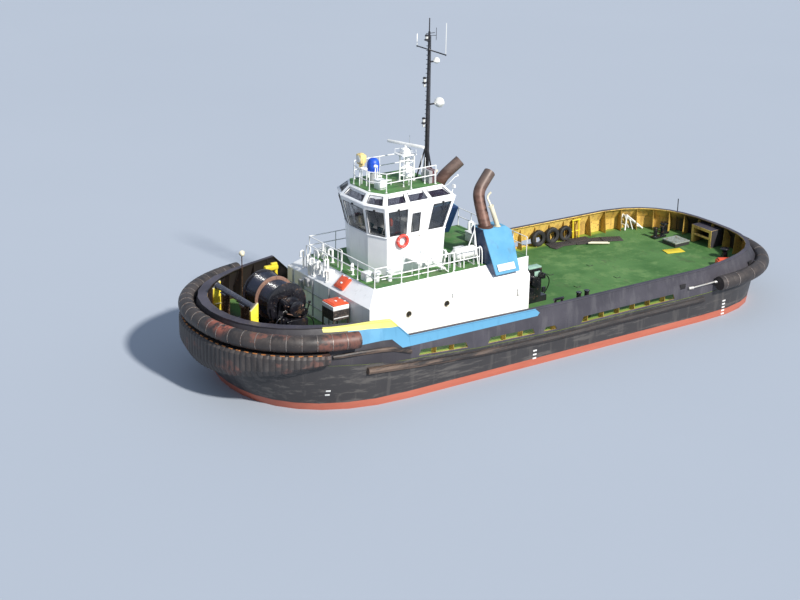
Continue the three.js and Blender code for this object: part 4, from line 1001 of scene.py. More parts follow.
# HELM
# Moulded grey console with a sloping desk of blank switch panels, screens and two thruster levers.
# The master's chair is black leathercloth over a shell, on a steel pedestal.
console_grey = paint("console_grey", (0.42, 0.43, 0.43), rough=0.5, chip=(0.35, 0.35, 0.35), chipped=0.72)
eased("helm_console", console_grey, edge=0.03)
chair_black = paint("chair_black", (0.03, 0.03, 0.032), rough=0.5, chip=(0.09, 0.09, 0.09), chipped=0.7,
                    grain=6.0)
eased("helm_chair", chair_black, edge=0.03)
screen_dark = finish("screen_dark", lambda start: {
    "Base Color": start.place().noise(4.0).tint((0.02, 0.05, 0.06), (0.06, 0.14, 0.15)),
    "Roughness": 0.12,
})
bm = bmesh.new()
for y in (-0.95, -0.45, 0.45, 0.95):
    screen = at(7.62, y, 7.12) @ Matrix.Rotation(radians(-22), 4, "Y")
    block(bm, (-0.03, -0.20, -0.16), (0.02, 0.20, 0.16), 0.012, screen)
for y in (-0.3, 0.3):
    bar(bm, (7.27, y, 6.85), (7.25, y, 7.02), 0.022)
    bar(bm, (7.25, y - 0.05, 7.02), (7.25, y + 0.05, 7.02), 0.03)
weld(bm, "helm_screens", screen_dark)

# Papers lie on the console, a white chart desk stands aft and an orange case hangs by the port window.
papers = paint("papers", (0.80, 0.80, 0.76), rough=0.7, chip=(0.55, 0.56, 0.58), chipped=0.6)
bm = bmesh.new()
blocks(bm, [((7.45, -1.05, 6.951), (7.85, -0.55, 6.97), 0.004),
            ((7.42, 0.62, 6.951), (7.78, 1.12, 6.972), 0.004),
            ((4.75, -1.6, 6.0), (5.35, -0.6, 6.95), 0.03)])
weld(bm, "chart_desk", papers)
case_orange = paint("case_orange", (0.85, 0.13, 0.04), rough=0.75, chip=(0.9, 0.75, 0.3), chipped=0.68)
bm = bmesh.new()
blocks(bm, [((7.55, 1.25, 7.62), (7.72, 1.55, 7.98), 0.06), ((7.58, 1.30, 7.95), (7.70, 1.50, 8.05), 0.04)])
weld(bm, "orange_case", case_orange)

# RAILS AND STEPS
# Galvanised pipe welded at the joints and painted white: two rails on posts, with a flat foot to each post.
# The boat-deck rails, the roof rail and the two flights of steps to the doors are all made this way.
rail_white = paint("rail_white", (0.92, 0.92, 0.90), rough=0.35, chip=(0.42, 0.30, 0.22), chipped=0.69)


def pipe(bm, points, radius, sides=2, bent=False):
    """Pipe along a run of points, mitred at its corners, or bent through them in curves."""
    route = bpy.data.curves.new("route", "CURVE")
    route.dimensions = "3D"
    route.bevel_depth = radius
    route.bevel_resolution = sides
    route.use_fill_caps = True
    line = route.splines.new("NURBS" if bent else "POLY")
    line.points.add(len(points) - 1)
    for knot, point in zip(line.points, points):
        knot.co = (*point, 1.0)
    if bent:
        line.use_endpoint_u = True
        line.order_u = 3
        line.resolution_u = 6
    holder = bpy.data.objects.new("route", route)
    bm.from_mesh(holder.to_mesh())
    holder.to_mesh_clear()
    bpy.data.objects.remove(holder)
    bpy.data.curves.remove(route)


def rail_run(bm, points, base, heights, spacing, radius, ends=True):
    """Posts with flat feet, the level pipes along them and a ball where they cross."""
    for height in heights:
        pipe(bm, [Vector((x, y, base + height)) for x, y in points], radius)
    for (x0, y0), (x1, y1) in zip(points, points[1:]):
        a, b = Vector((x0, y0, base)), Vector((x1, y1, base))
        bays = max(1, round((b - a).length / spacing))
        for k in range(bays + 1):
            if not ends and (k == 0 or k == bays):
                continue
            foot = a.lerp(b, k / bays)
            bar(bm, foot, foot + Vector((0, 0, heights[0])), radius * 0.95, 10)
            block(bm, foot - Vector((0.06, 0.06, 0)), foot + Vector((0.06, 0.06, 0.012)), 0.004)
            for height in heights:
                bmesh.ops.create_uvsphere(bm, u_segments=8, v_segments=6, radius=radius * 1.25,
                                          matrix=Matrix.Translation(foot + Vector((0, 0, height))))


boat_deck = 5.1
for name, y in (("boat_deck_rail_port", 3.14), ("boat_deck_rail_starboard", -3.14)):
    bm = bmesh.new()
    rail_run(bm, [(3.1, y), (9.74, y)], boat_deck, (1.05, 0.55), 1.6, 0.029)
    weld(bm, name + "_pipes", rail_white, replaces=(name,))
bm = bmesh.new()
rail_run(bm, [(9.74, 3.1), (9.74, -3.1)], boat_deck, (1.05, 0.55), 1.6, 0.029, ends=False)
weld(bm, "boat_deck_rail_front_pipes", rail_white, replaces=("boat_deck_rail_front",))
bm = bmesh.new()
rail_run(bm, [(4.85, 1.45), (7.98, 1.50), (8.52, 0.73), (8.52, -0.73), (7.98, -1.50), (4.85, -1.45)], 9.48,
         (1.0, 0.5), 1.3, 0.027)
weld(bm, "roof_rail_pipes", rail_white, replaces=("roof_rail",))
eased_pair("steps", rail_white, edge=0.005)

# LIFE RAFTS
# White glass-fibre canisters in two halves, hooped where the raft inside is packed.
# Each lies in a steel cradle on the boat deck, held by bands with a slip hook.
raft_white = paint("raft_white", (0.83, 0.83, 0.80), rough=0.4, chip=(0.5, 0.48, 0.44), chipped=0.7)
canister = [(0, 0), (0.20, 0.0), (0.27, 0.025), (0.305, 0.07), (0.32, 0.13), (0.323, 0.30), (0.312, 0.315),
            (0.312, 0.42), (0.323, 0.435), (0.323, 0.64), (0.329, 0.65), (0.329, 0.70), (0.323, 0.71),
            (0.323, 0.915), (0.312, 0.93), (0.312, 1.035), (0.323, 1.05), (0.32, 1.22), (0.305, 1.28),
            (0.27, 1.325), (0.20, 1.35), (0, 1.35)]
for name, y in (("liferaft_port", 2.45), ("liferaft_starboard", -2.45)):
    bm = bmesh.new()
    lathe(bm, canister, aimed((2.9, y, 5.75), (1, 0, 0)), 32)
    for x in (3.1, 3.97):
        blocks(bm, [((x, y - 0.3, boat_deck), (x + 0.08, y - 0.22, 5.66), 0.01),
                    ((x, y + 0.22, boat_deck), (x + 0.08, y + 0.3, 5.66), 0.01),
                    ((x, y - 0.3, 5.38), (x + 0.08, y + 0.3, 5.46), 0.01),
                    ((x - 0.02, y - 0.34, boat_deck), (x + 0.10, y + 0.34, 5.115), 0.004)])
    weld(bm, name + "_canister", raft_white, replaces=(name,))

# FUNNELS AND EXHAUSTS
# Plate casings over the engine-room vents, sky blue outboard and navy elsewhere, lapped over the house.
# Their exhausts are bent steel pipes that the heat has turned brown, each with a flange and an open end.


def funnel_look(start):
    place = start.place()
    y = place.axes()[1]
    _, ny, up = start.facing().axes()
    cloud = place.noise(1.0)
    fine = place.fine(10.0)
    streak = place.runs(3.0)
    sky = cloud.over(0.5, 0.25).tint((0.095, 0.30, 0.48), (0.12, 0.35, 0.53))
    navy = cloud.over(0.5, 0.25).tint((0.006, 0.022, 0.075), (0.010, 0.032, 0.105))
    outboard = (ny * y).over(0.9, 0.3).maths("MAXIMUM", up.over(0.6, 0.1))
    coat = outboard.tint(navy, sky)
    coat = (streak.over(0.62, 0.08) * 0.3).tint(coat, (0.10, 0.13, 0.16))
    return {
        "Base Color": (fine.over(0.69, 0.03) * 0.7).tint(coat, (0.30, 0.33, 0.36)),
        "Roughness": 0.33 + (cloud - 0.5) * 0.25,
        "Normal": (fine * 0.4 + cloud).bump(0.25, 0.01),
    }


funnel_blue = finish("funnel_blue", funnel_look)
eased_pair("funnel", funnel_blue, edge=0.03)


def burnt_look(start):
    place = start.place()
    z = place.axes()[2]
    band = place.noise(0.9, 4.0, 0.6, (1.0, 1.0, 2.4))
    fine = place.fine(9.0)
    steel = band.over(0.5, 0.15).tint((0.085, 0.040, 0.028), (0.20, 0.105, 0.078))
    steel = ((z + band * 1.5).over(9.6, 0.5) * 0.6).tint(steel, (0.14, 0.115, 0.10))
    return {
        "Base Color": (fine.over(0.62, 0.05) * 0.6).tint(steel, (0.26, 0.16, 0.115)),
        "Metallic": 0.2,
        "Roughness": 0.5 + (band - 0.5) * 0.3,
        "Normal": (fine + band).bump(0.4, 0.008),
    }


burnt_steel = finish("burnt_steel", burnt_look)
route = [(2.23, 2.45, 6.93), (2.23, 2.10, 7.66), (2.23, 1.90, 8.12), (2.19, 1.73, 8.46), (2.08, 1.62, 8.72),
         (1.84, 1.52, 8.98), (1.20, 1.33, 9.53)]
for name, side in (("port", 1), ("starboard", -1)):
    points = [Vector((x, side * y, z)) for x, y, z in route]
    bm = bmesh.new()
    pipe(bm, points, 0.318, 5, bent=True)
    end = points[-1]
    way = (end - points[-2]).normalized()
    facing_out = [face for face in bm.faces if face.normal.dot(way) > 0.98]
    mouth = [face for face in facing_out if (face.calc_center_median() - end).length < 0.2]
    bmesh.ops.inset_region(bm, faces=mouth, thickness=0.03, depth=0.0)
    bmesh.ops.translate(bm, vec=-way * 0.7, verts=list({vert for face in mouth for vert in face.verts}))
    weld(bm, "exhaust_" + name + "_pipe", burnt_steel, replaces=("exhaust_" + name,))
    bm = bmesh.new()
    for along in (0.10, 0.52):
        bar(bm, points[0].lerp(points[2], along), points[0].lerp(points[2], along + 0.045), 0.328, 24)
    foot = at(2.23, side * 2.45, 6.951)
    lathe(bm, [(0.30, 0.0), (0.42, 0.0), (0.42, 0.02), (0.335, 0.024), (0.335, 0.10), (0.30, 0.10),
               (0.30, 0.0)], foot, 28)
    ring_of_bolts(bm, foot @ at(0, 0, 0.028), 0.38, 12)
    weld(bm, "exhaust_" + name + "_flanges", burnt_steel)

cream = paint("cream", (0.76, 0.70, 0.52), rough=0.45, chip=(0.35, 0.25, 0.15), chipped=0.66)
bm = bmesh.new()
for side in (1, -1):
    bar(bm, (1.60, side * 2.70, 6.93), (2.02, side * 2.62, 8.08), 0.125, 20)
    bar(bm, (2.02, side * 2.62, 8.08), (2.04, side * 2.615, 8.13), 0.15, 20)
    pipe(bm, [(2.03, side * 2.62, 8.10), (2.08, side * 2.52, 8.32), (2.10, side * 2.36, 8.50),
              (2.06, side * 2.36, 8.66), (1.92, side * 2.44, 8.82)], 0.055, 3, bent=True)
    lathe(bm, [(0, 0.0), (0.19, 0.0), (0.19, 0.02), (0, 0.02)], at(1.62, side * 2.70, 6.952), 20)
weld(bm, "vent_pipes", cream)
plate_white = paint("plate_white", (0.80, 0.80, 0.77), rough=0.4, chip=(0.55, 0.50, 0.42), chipped=0.7)
bm = bmesh.new()
for side, low, high in ((1, -0.012, 0.03), (-1, -0.03, 0.012)):
    lean = at(1.90, side * 3.96, 5.06) @ Matrix.Rotation(side * radians(29.2), 4, "X")
    block(bm, (-0.56, low, -0.16), (0.56, high, 0.22), 0.008, lean)
weld(bm, "funnel_plates", plate_white)

# SEARCHLIGHTS
# The forward one is a yellow-cased lamp on a white stand; it turns on its post, and its glass looks ahead.
# The one behind it is shut away under a moulded blue hood on a grey drum.
lamp_yellow = paint("lamp_yellow", (0.80, 0.62, 0.26), rough=0.45, chip=(0.35, 0.25, 0.12), chipped=0.66)
bm = bmesh.new()
head = at(8.38, -0.3, 10.92)
blocks(bm, [((-0.20, -0.245, -0.235), (0.17, 0.245, 0.27), 0.09),
            ((-0.225, -0.20, -0.17), (-0.19, 0.20, 0.20), 0.02),
            ((-0.06, -0.262, -0.30), (0.06, -0.245, 0.08), 0.008),
            ((-0.06, 0.245, -0.30), (0.06, 0.262, 0.08), 0.008)], head)
bar(bm, (8.38, -0.3, 10.505), (8.38, -0.3, 10.66), 0.10, 20)
block(bm, (8.30, -0.58, 10.62), (8.46, -0.02, 10.65), 0.01)
for z in (10.80, 10.90, 11.0):
    block(bm, (8.145, -0.45, z), (8.16, -0.15, z + 0.03), 0.004)
block(bm, (8.26, -0.40, 11.185), (8.46, -0.20, 11.22), 0.02)
weld(bm, "searchlight_case", lamp_yellow, "searchlight", replaces=("searchlight",))
lamp_glass = finish("lamp_glass", lambda start: {
    "Base Color": start.place().noise(6.0).tint((0.55, 0.57, 0.55), (0.75, 0.76, 0.72)),
    "Roughness": 0.08,
    "Coat Weight": 1.0,
})
bm = bmesh.new()
lathe(bm, [(0, 0.03), (0.12, 0.025), (0.19, 0.005), (0.20, -0.03), (0, -0.03)],
      aimed((8.552, -0.3, 10.93), (1, 0, 0)), 24)
weld(bm, "searchlight_glass", lamp_glass, "searchlight")
eased("searchlight_stand", rail_white, edge=0.004)


def hood_look(start):
    place = start.place()
    z = place.axes()[2]
    cloud = place.noise(2.2)
    fine = place.noise(14.0, 5.0, 0.7)
    blue = cloud.over(0.5, 0.25).tint((0.006, 0.05, 0.42), (0.02, 0.11, 0.66))
    grey = fine.over(0.6, 0.1).tint((0.42, 0.43, 0.44), (0.28, 0.27, 0.26))
    return {
        "Base Color": z.over(10.13, 0.006).tint(grey, blue),
        "Roughness": 0.38 + (cloud - 0.5) * 0.3,
        "Normal": (cloud * 1.5 + fine * 0.2).bump(0.5, 0.03),
    }


roof_top = 9.481
bm = bmesh.new()
lathe(bm, [(0, 0.0), (0.27, 0.0), (0.27, 0.03), (0.225, 0.035), (0.225, 0.60), (0.30, 0.62), (0.315, 0.67),
           (0.30, 0.70), (0.325, 0.80), (0.335, 0.95), (0.315, 1.10), (0.26, 1.22), (0.17, 1.30),
           (0.06, 1.325), (0, 1.325)], at(7.5, -0.45, roof_top), 30)
for k in range(6):
    hoop = at(7.5, -0.45, 10.2) @ Matrix.Rotation(pi * k / 3, 4, "Z")
    block(bm, (0.30, -0.012, -0.09), (0.332, 0.012, 0.38), 0.006, hoop)
weld(bm, "covered_lamp", finish("hood_blue", hood_look), replaces=("lamp_drum",))

# RADAR
# White lattice tower of welded pipe with a platform, a turning gearbox on it and a long scanner bar on top.
# The bar is a moulded plastic box, bolted by its middle to the turning head and parked at a slant.
radar_x = 5.78
legs = [(5.43, 0.3), (5.43, -0.3), (6.13, 0.0)]
bm = bmesh.new()
for x, y in legs:
    bar(bm, (x, y, roof_top), (x, y, 10.86), 0.045, 12)
    block(bm, (x - 0.09, y - 0.09, roof_top), (x + 0.09, y + 0.09, 9.497), 0.004)
for level in (9.75, 10.15, 10.55):
    for (ax, ay), (bx, by) in zip(legs, legs[1:] + legs[:1]):
        bar(bm, (ax, ay, level), (bx, by, level), 0.024, 8)
        bar(bm, (ax, ay, level), (bx, by, level + 0.36), 0.020, 8)
block(bm, (5.33, -0.4, 10.85), (6.23, 0.4, 10.91), 0.012)
for x in (5.40, 5.62, 5.84, 6.06):
    block(bm, (x, -0.36, 10.905), (x + 0.10, 0.36, 10.918), 0.004)
block(bm, (5.54, -0.22, 10.905), (6.02, 0.22, 11.19), 0.05)
lathe(bm, [(0, 0.0), (0.165, 0.0), (0.165, 0.05), (0, 0.05)], at(radar_x, 0, 11.185), 24)
bar(bm, (5.66, 0.0, roof_top), (5.66, 0.0, 10.86), 0.13, 20)
block(bm, (5.44, -0.24, 9.62), (5.88, 0.24, 10.20), 0.03)
for y in (0.37, -0.37):
    pipe(bm, [(5.36, y, 10.9), (5.36, y, 11.12), (6.2, y, 11.12), (6.2, y, 10.9)], 0.014)
weld(bm, "radar_tower", rail_white, replaces=("radar_pedestal",))
bm = bmesh.new()
bar(bm, (radar_x, 0, 11.241), (radar_x, 0, 11.36), 0.09, 20)
sweep = at(radar_x, 0, 11.405) @ Matrix.Rotation(radians(22), 4, "Z")
blocks(bm, [((-0.06, -1.14, -0.066), (0.05, 1.14, 0.085), 0.02),
            ((0.045, -1.10, -0.045), (0.068, 1.10, 0.065), 0.01),
            ((-0.058, -0.30, -0.062), (0.0, 0.30, 0.062), 0.015)], sweep)
weld(bm, "radar_bar", raft_white, "radar_scanner", replaces=("radar_scanner",))

# MAST
# Tapered black steel pole on three legs, with lamp shelves, a yard with whip aerials and two white domes.
# Cables run down it in a tray, and rungs are welded up its forward side.


def mast_look(start):
    place = start.place()
    _, y, z = place.axes()
    cloud = place.noise(1.6)
    fine = place.fine(12.0)
    black = cloud.over(0.5, 0.2).tint((0.012, 0.012, 0.014), (0.032, 0.030, 0.034))
    black = (fine.over(0.64, 0.04) * 0.7).tint(black, (0.10, 0.06, 0.045))
    white = cloud.over(0.5, 0.25).tint((0.70, 0.70, 0.66), (0.82, 0.82, 0.78))
    dome = near(place, (3.68, 0.0, 13.37), 0.33).maths("MAXIMUM", near(place, (3.92, 0.0, 15.63), 0.23))
    whip = z.over(16.3, 0.02) * y.maths("ABSOLUTE").over(1.0, 0.02)
    return {
        "Base Color": dome.maths("MAXIMUM", whip).tint(black, white),
        "Roughness": 0.36 + (fine - 0.5) * 0.3,
        "Normal": fine.bump(0.3, 0.004),
    }


mast_black = finish("mast_black", mast_look)
eased("mast", mast_black, sharp=50)
bm = bmesh.new()
mast_lamps = [(4.66, 12.40, 0.28), (4.66, 14.55, 0.28), (4.59, 16.80, 0.25)]
for x, z, tall in mast_lamps:
    lathe(bm, [(0, 0), (0.088, 0), (0.092, 0.02), (0.075, 0.035), (0.075, tall - 0.07),
               (0.092, tall - 0.055), (0.092, tall - 0.02), (0.05, tall + 0.012), (0, tall + 0.012)],
          at(x, 0, z), 16)
for k in range(24):
    z = 11.4 + k * 0.24
    bars(bm, [((4.50, -0.13, z), (4.50, 0.13, z), 0.012, 6), ((4.40, 0.10, z), (4.50, 0.13, z), 0.010, 6),
              ((4.40, -0.10, z), (4.50, -0.13, z), 0.010, 6)])
pipe(bm, [(4.30, 0.03, 9.3), (4.30, 0.03, 13.2), (4.34, 0.03, 17.0)], 0.018)
pipe(bm, [(4.30, -0.03, 9.3), (4.30, -0.03, 13.0), (4.33, -0.03, 15.6)], 0.014)
block(bm, (3.86, -0.30, 17.02), (4.42, -0.27, 17.05), 0.004)
bar(bm, (3.95, -0.02, 16.95), (4.42, -0.02, 16.99), 0.014, 8)
bar(bm, (3.96, -0.02, 16.7), (3.96, -0.02, 17.35), 0.013, 8)
weld(bm, "mast_fittings", mast_black, sharp=50)
lens_clear = finish("lamp_lenses", lambda start: {
    "Base Color": start.place().noise(9.0).tint((0.50, 0.50, 0.47), (0.75, 0.75, 0.70)),
    "Roughness": 0.12,
    "Coat Weight": 0.8,
})
bm = bmesh.new()
for x, z, tall in mast_lamps:
    lathe(bm, [(0, 0.05), (0.084, 0.05), (0.086, tall / 2), (0.084, tall - 0.08), (0, tall - 0.08)],
          at(x, 0, z), 16)
for z in (12.18, 14.33):
    lathe(bm, [(0, 0), (0.05, 0.0), (0.065, 0.04), (0.065, 0.11), (0.05, 0.14), (0, 0.15)], at(4.66, 0, z),
          12)
weld(bm, "mast_lenses", lens_clear)

# ROOF GEAR
# A grey radio locker with two dark-red straps, white domes, whips, horns and lamps stand on the roof.
# All are bought fittings bolted to pads; a lifebuoy hangs on the trunk forward of each door.
locker_grey = paint("locker_grey", (0.40, 0.40, 0.41), rough=0.55, chip=(0.26, 0.25, 0.25), chipped=0.58)
eased("roof_locker", locker_grey, edge=0.015)
strap_red = paint("strap_red", (0.12, 0.008, 0.014), rough=0.6, chip=(0.2, 0.05, 0.05), chipped=0.7)
bm = bmesh.new()
for x in (4.70, 4.86):
    block(bm, (x, 0.635, 9.485), (x + 0.085, 1.315, 10.162), 0.01)
weld(bm, "roof_locker_straps", strap_red)

bm = bmesh.new()
whips = [(7.95, 0.62, 10.75), (6.60, 1.05, 11.20), (5.30, 1.12, 10.90), (4.86, 0.20, 10.75),
         (4.62, -1.30, 11.45), (7.20, -1.35, 10.6)]
for x, y, top in whips:
    lathe(bm, [(0, 0.0), (0.05, 0.0), (0.05, 0.02), (0.03, 0.04), (0.03, 0.22), (0.021, 0.25),
               (0.013, top - 9.5), (0, top - 9.48)], at(x, y, roof_top), 10)
for x, y, r, z in ((6.20, 0.95, 0.17, 9.95), (7.90, 0.35, 0.10, 10.55)):
    bar(bm, (x, y, roof_top), (x, y, z), 0.03)
    lathe(bm, [(0, 0), (r * 0.75, 0.0), (r, 0.03), (r, r * 0.7), (r * 0.8, r * 1.15), (r * 0.4, r * 1.4),
               (0, r * 1.45)], at(x, y, z), 18)
block(bm, (7.62, 0.45, roof_top), (8.06, 0.95, 9.98), 0.03)
block(bm, (7.60, 0.43, 9.94), (8.08, 0.97, 9.99), 0.01)
for y in (0.45, -0.45):
    lathe(bm, [(0.03, 0), (0.035, 0.10), (0.06, 0.24), (0.12, 0.36), (0.125, 0.37), (0.11, 0.365),
               (0.03, 0.2), (0.02, 0.0), (0.03, 0)], aimed((6.95, y, 9.75), (1, 0, 0)), 18)
    bar(bm, (6.98, y, roof_top), (6.98, y, 9.74), 0.022, 8)
for x, y in ((4.15, 1.95), (4.15, -1.95), (8.75, 0.0)):
    bar(bm, (x, y, 8.97), (x - 0.10, y * 1.01, 9.32), 0.022, 8)
    block(bm, (x - 0.17, y * 1.01 - 0.11, 9.28), (x - 0.05, y * 1.01 + 0.11, 9.45), 0.02)
pipe(bm, [(4.30, 1.0, 9.0), (4.05, 1.5, 9.35), (3.72, 1.62, 9.72), (3.55, 1.62, 9.75)], 0.02)
lathe(bm, [(0, 0), (0.04, 0.0), (0.05, 0.03), (0.05, 0.09), (0, 0.10)], at(3.55, 1.62, 9.74), 12)
weld(bm, "roof_fittings", rail_white)

buoy_red = paint("buoy_red", (0.70, 0.05, 0.03), rough=0.5, chip=(0.85, 0.80, 0.76), chipped=0.60)
bm = bmesh.new()
ring = [(0.30 + 0.085 * cos(2 * pi * k / 12), 0.085 * sin(2 * pi * k / 12)) for k in range(12)]
for side in (1, -1):
    lathe(bm, ring + ring[:1], aimed((7.34, side * 2.13, 6.95), (0, side, 0)), 28)
    sided(bm, side, (7.30, 1.96, 7.16), (7.38, 2.10, 7.20), 0.01)
weld(bm, "lifebuoys", buoy_red)

# BOAT-DECK FITTINGS
# Gooseneck vents and pipe frames crowd the front of the boat deck; each is bent white pipe on a flat foot.
# Lockers, vent cowls, a fire pipe and more pipe frames stand beside and behind the wheelhouse.


def gooseneck(bm, x, y, z, tall, radius, turn):
    """Vent pipe that bends over and looks down, with a collar where it meets the deck."""
    away = Vector((cos(turn), sin(turn), 0)) * 0.22
    foot = Vector((x, y, z))
    up = Vector((0, 0, 1))
    over = foot + up * tall
    mouth = over - up * 0.24 + away
    pipe(bm, [foot, over - up * 0.12, over, over + up * 0.04 + away * 0.5, over + away,
              over - up * 0.10 + away, mouth], radius, 3, bent=True)
    bar(bm, foot, foot + up * 0.03, radius * 1.9, 14)
    bar(bm, mouth + up * 0.01, mouth - up * 0.05, radius * 1.35, 14)


def slope_z(x):
    """Height of the house front where it slopes from the foredeck up to the boat deck."""
    return boat_deck if x < 9.8 else boat_deck - (x - 9.8) * 0.875


bm = bmesh.new()
necks = [(10.35, -2.75, 0.95, 0.05, 0.2), (10.28, -2.25, 0.80, 0.055, 0.5),
         (10.45, -1.55, 0.95, 0.05, -0.3), (10.30, -1.20, 0.75, 0.06, 0.4), (10.10, -0.70, 0.80, 0.05, 0.1),
         (9.45, -2.30, 0.85, 0.05, 1.2), (9.35, -1.45, 0.70, 0.06, -0.8), (9.50, 0.75, 0.62, 0.05, 0.6),
         (10.42, -0.35, 0.62, 0.045, 0.2)]
for x, y, tall, radius, turn in necks:
    gooseneck(bm, x, y, slope_z(x) - 0.02, tall, radius, turn)
for x, y, tall, wide in ((10.30, -2.55, 1.25, 0.42), (10.25, -1.85, 1.15, 0.40), (10.20, -1.00, 1.10, 0.38),
                         (9.55, -0.62, 1.05, 0.40)):
    foot = slope_z(x)
    top = min(foot + tall, 6.14)
    pipe(bm, [(x, y, foot), (x, y, top - 0.12), (x, y, top), (x, y + wide / 2, top + 0.02),
              (x, y + wide, top), (x, y + wide, top - 0.12), (x, y + wide, foot)], 0.03, 3, bent=True)
    bar(bm, (x, y, foot + 0.42), (x, y + wide, foot + 0.42), 0.02, 8)
lockers = [(10.28, -2.05, 0.25, 0.36, 0.62), (10.20, -0.55, 0.18, 0.34, 0.55),
           (9.40, -2.75, 0.25, 0.3, 0.45), (9.30, 1.55, 0.25, 0.55, 0.42), (3.35, 1.55, 0.3, 0.5, 0.7),
           (3.35, -2.05, 0.3, 0.5, 0.7)]
for x, y, half, deep, tall in lockers:
    low = slope_z(x + half) - 0.02
    blocks(bm, [((x - half, y, low), (x + half, y + deep, low + tall), 0.02),
                ((x - half - 0.02, y - 0.02, low + tall - 0.02),
                 (x + half + 0.02, y + deep + 0.02, low + tall + 0.025), 0.012)])
for x, y in ((9.05, 2.35), (9.05, -2.6), (8.4, 2.55)):
    lathe(bm, [(0.11, 0), (0.11, 0.42), (0.19, 0.43), (0.21, 0.46), (0.21, 0.54), (0.15, 0.60), (0, 0.62),
               (0, 0.40), (0.10, 0.40), (0.10, 0.0), (0.11, 0)], at(x, y, boat_deck), 20)
pipe(bm, [(8.75, 2.30, 5.16), (7.4, 2.62, 5.16), (4.9, 2.62, 5.16), (4.5, 1.2, 5.16)], 0.03)
for side in (1, -1):
    for x in (4.55, 3.95, 2.75):
        y = side * 2.72
        pipe(bm, [(x, y - 0.22, boat_deck), (x, y - 0.22, 5.75), (x, y - 0.11, 6.02), (x, y + 0.11, 6.02),
                  (x, y + 0.22, 5.75), (x, y + 0.22, boat_deck)], 0.032, 3, bent=True)
    crown = (2.95, side * 2.45, 6.9)
    for x, y in ((2.55, 2.05), (2.95, 2.85), (3.35, 2.05)):
        bar(bm, (x, side * y, boat_deck), crown, 0.035)
    bar(bm, (2.95, side * 2.45, 6.86), (2.95, side * 2.45, 7.3), 0.028)
    gooseneck(bm, 4.35, side * 1.75, boat_deck, 0.7, 0.06, side * 1.2)
    gooseneck(bm, 0.55, side * 1.2, boat_deck, 0.8, 0.07, 3.0)
blocks(bm, [((0.25, -0.75, boat_deck), (1.15, 0.55, 5.62), 0.03),
            ((0.22, -0.78, 5.60), (1.18, 0.58, 5.66), 0.015)])
for y, radius in ((-3.1, 0.025), (3.1, 0.025), (-1.9, 0.024), (-0.6, 0.024), (0.6, 0.024), (1.9, 0.024)):
    bar(bm, (-0.12, y, boat_deck), (-0.12, y, 6.15), radius)
for height in (5.65, 6.15):
    bar(bm, (-0.12, -3.1, height), (-0.12, 3.1, height), 0.024)
weld(bm, "boat_deck_fittings", rail_white, sharp=40)

bm = bmesh.new()
for x, y, z in ((10.45, -2.95, 4.0), (10.66, -2.0, 4.15), (10.66, -2.6, 3.9)):
    block(bm, (x - 0.02, y, z - 0.25), (x + 0.14, y + 0.34, z + 0.20), 0.02)
for y in (-3.4, -1.4, 0.2):
    bar(bm, (10.63, y, 2.35), (10.63, y, 4.35), 0.035)
for z in (2.9, 3.6):
    bar(bm, (10.64, -3.7, z), (10.64, 0.9, z), 0.022, 8)
weld(bm, "house_front_pipes", locker_grey)

# ESCORT WINCH
# Split drum on a cross shaft between two side frames, driven from the port end through an open gear case.
# The towline lies on it in tight black turns that shine with grease; the brake bands are bare steel.


def gear_look(start):
    place = start.place()
    cloud = place.noise(1.5)
    fine = place.fine(9.0)
    black = cloud.over(0.5, 0.2).tint((0.004, 0.004, 0.007), (0.016, 0.015, 0.020))
    black = (place.noise(2.6, 6.0, 0.75).over(0.62, 0.04) * 0.7).tint(black, (0.13, 0.07, 0.04))
    return {
        "Base Color": (fine.over(0.66, 0.03) * 0.6).tint(black, (0.22, 0.20, 0.19)),
        "Metallic": 0.1,
        "Roughness": 0.16 + cloud * 0.2,
        "Normal": (fine + cloud).bump(0.35, 0.006),
        "Coat Weight": 0.4,
    }


winch_black = finish("winch_black", gear_look)
eased("winch_frame", winch_black, edge=0.012)


def rope_look(start):
    place = start.place()
    lay = place.noise(26.0, 4.0, 0.7, (1.0, 0.4, 1.0))
    cloud = place.noise(1.3)
    rope = cloud.over(0.5, 0.2).tint((0.0015, 0.002, 0.008), (0.006, 0.008, 0.024))
    return {
        "Base Color": (lay.over(0.66, 0.05) * 0.4).tint(rope, (0.05, 0.055, 0.075)),
        "Roughness": 0.12 + lay * 0.2,
        "Normal": lay.bump(0.5, 0.01),
        "Coat Weight": 0.8,
        "Coat Roughness": 0.12,
    }


wound_rope = finish("wound_rope", rope_look)


def windings(low, high, radius, turns):
    """Outline of rope laid in turns side by side on a drum."""
    pitch = (high - low) / turns
    line = [(radius - pitch / 2, low)]
    for turn in range(turns):
        for k in range(1, 6):
            angle = pi * k / 6
            along = low + pitch * (turn + 0.5 - cos(angle) / 2)
            line.append((radius - pitch / 2 + pitch / 2 * sin(angle), along))
        line.append((radius - pitch / 2, low + pitch * (turn + 1)))
    return line


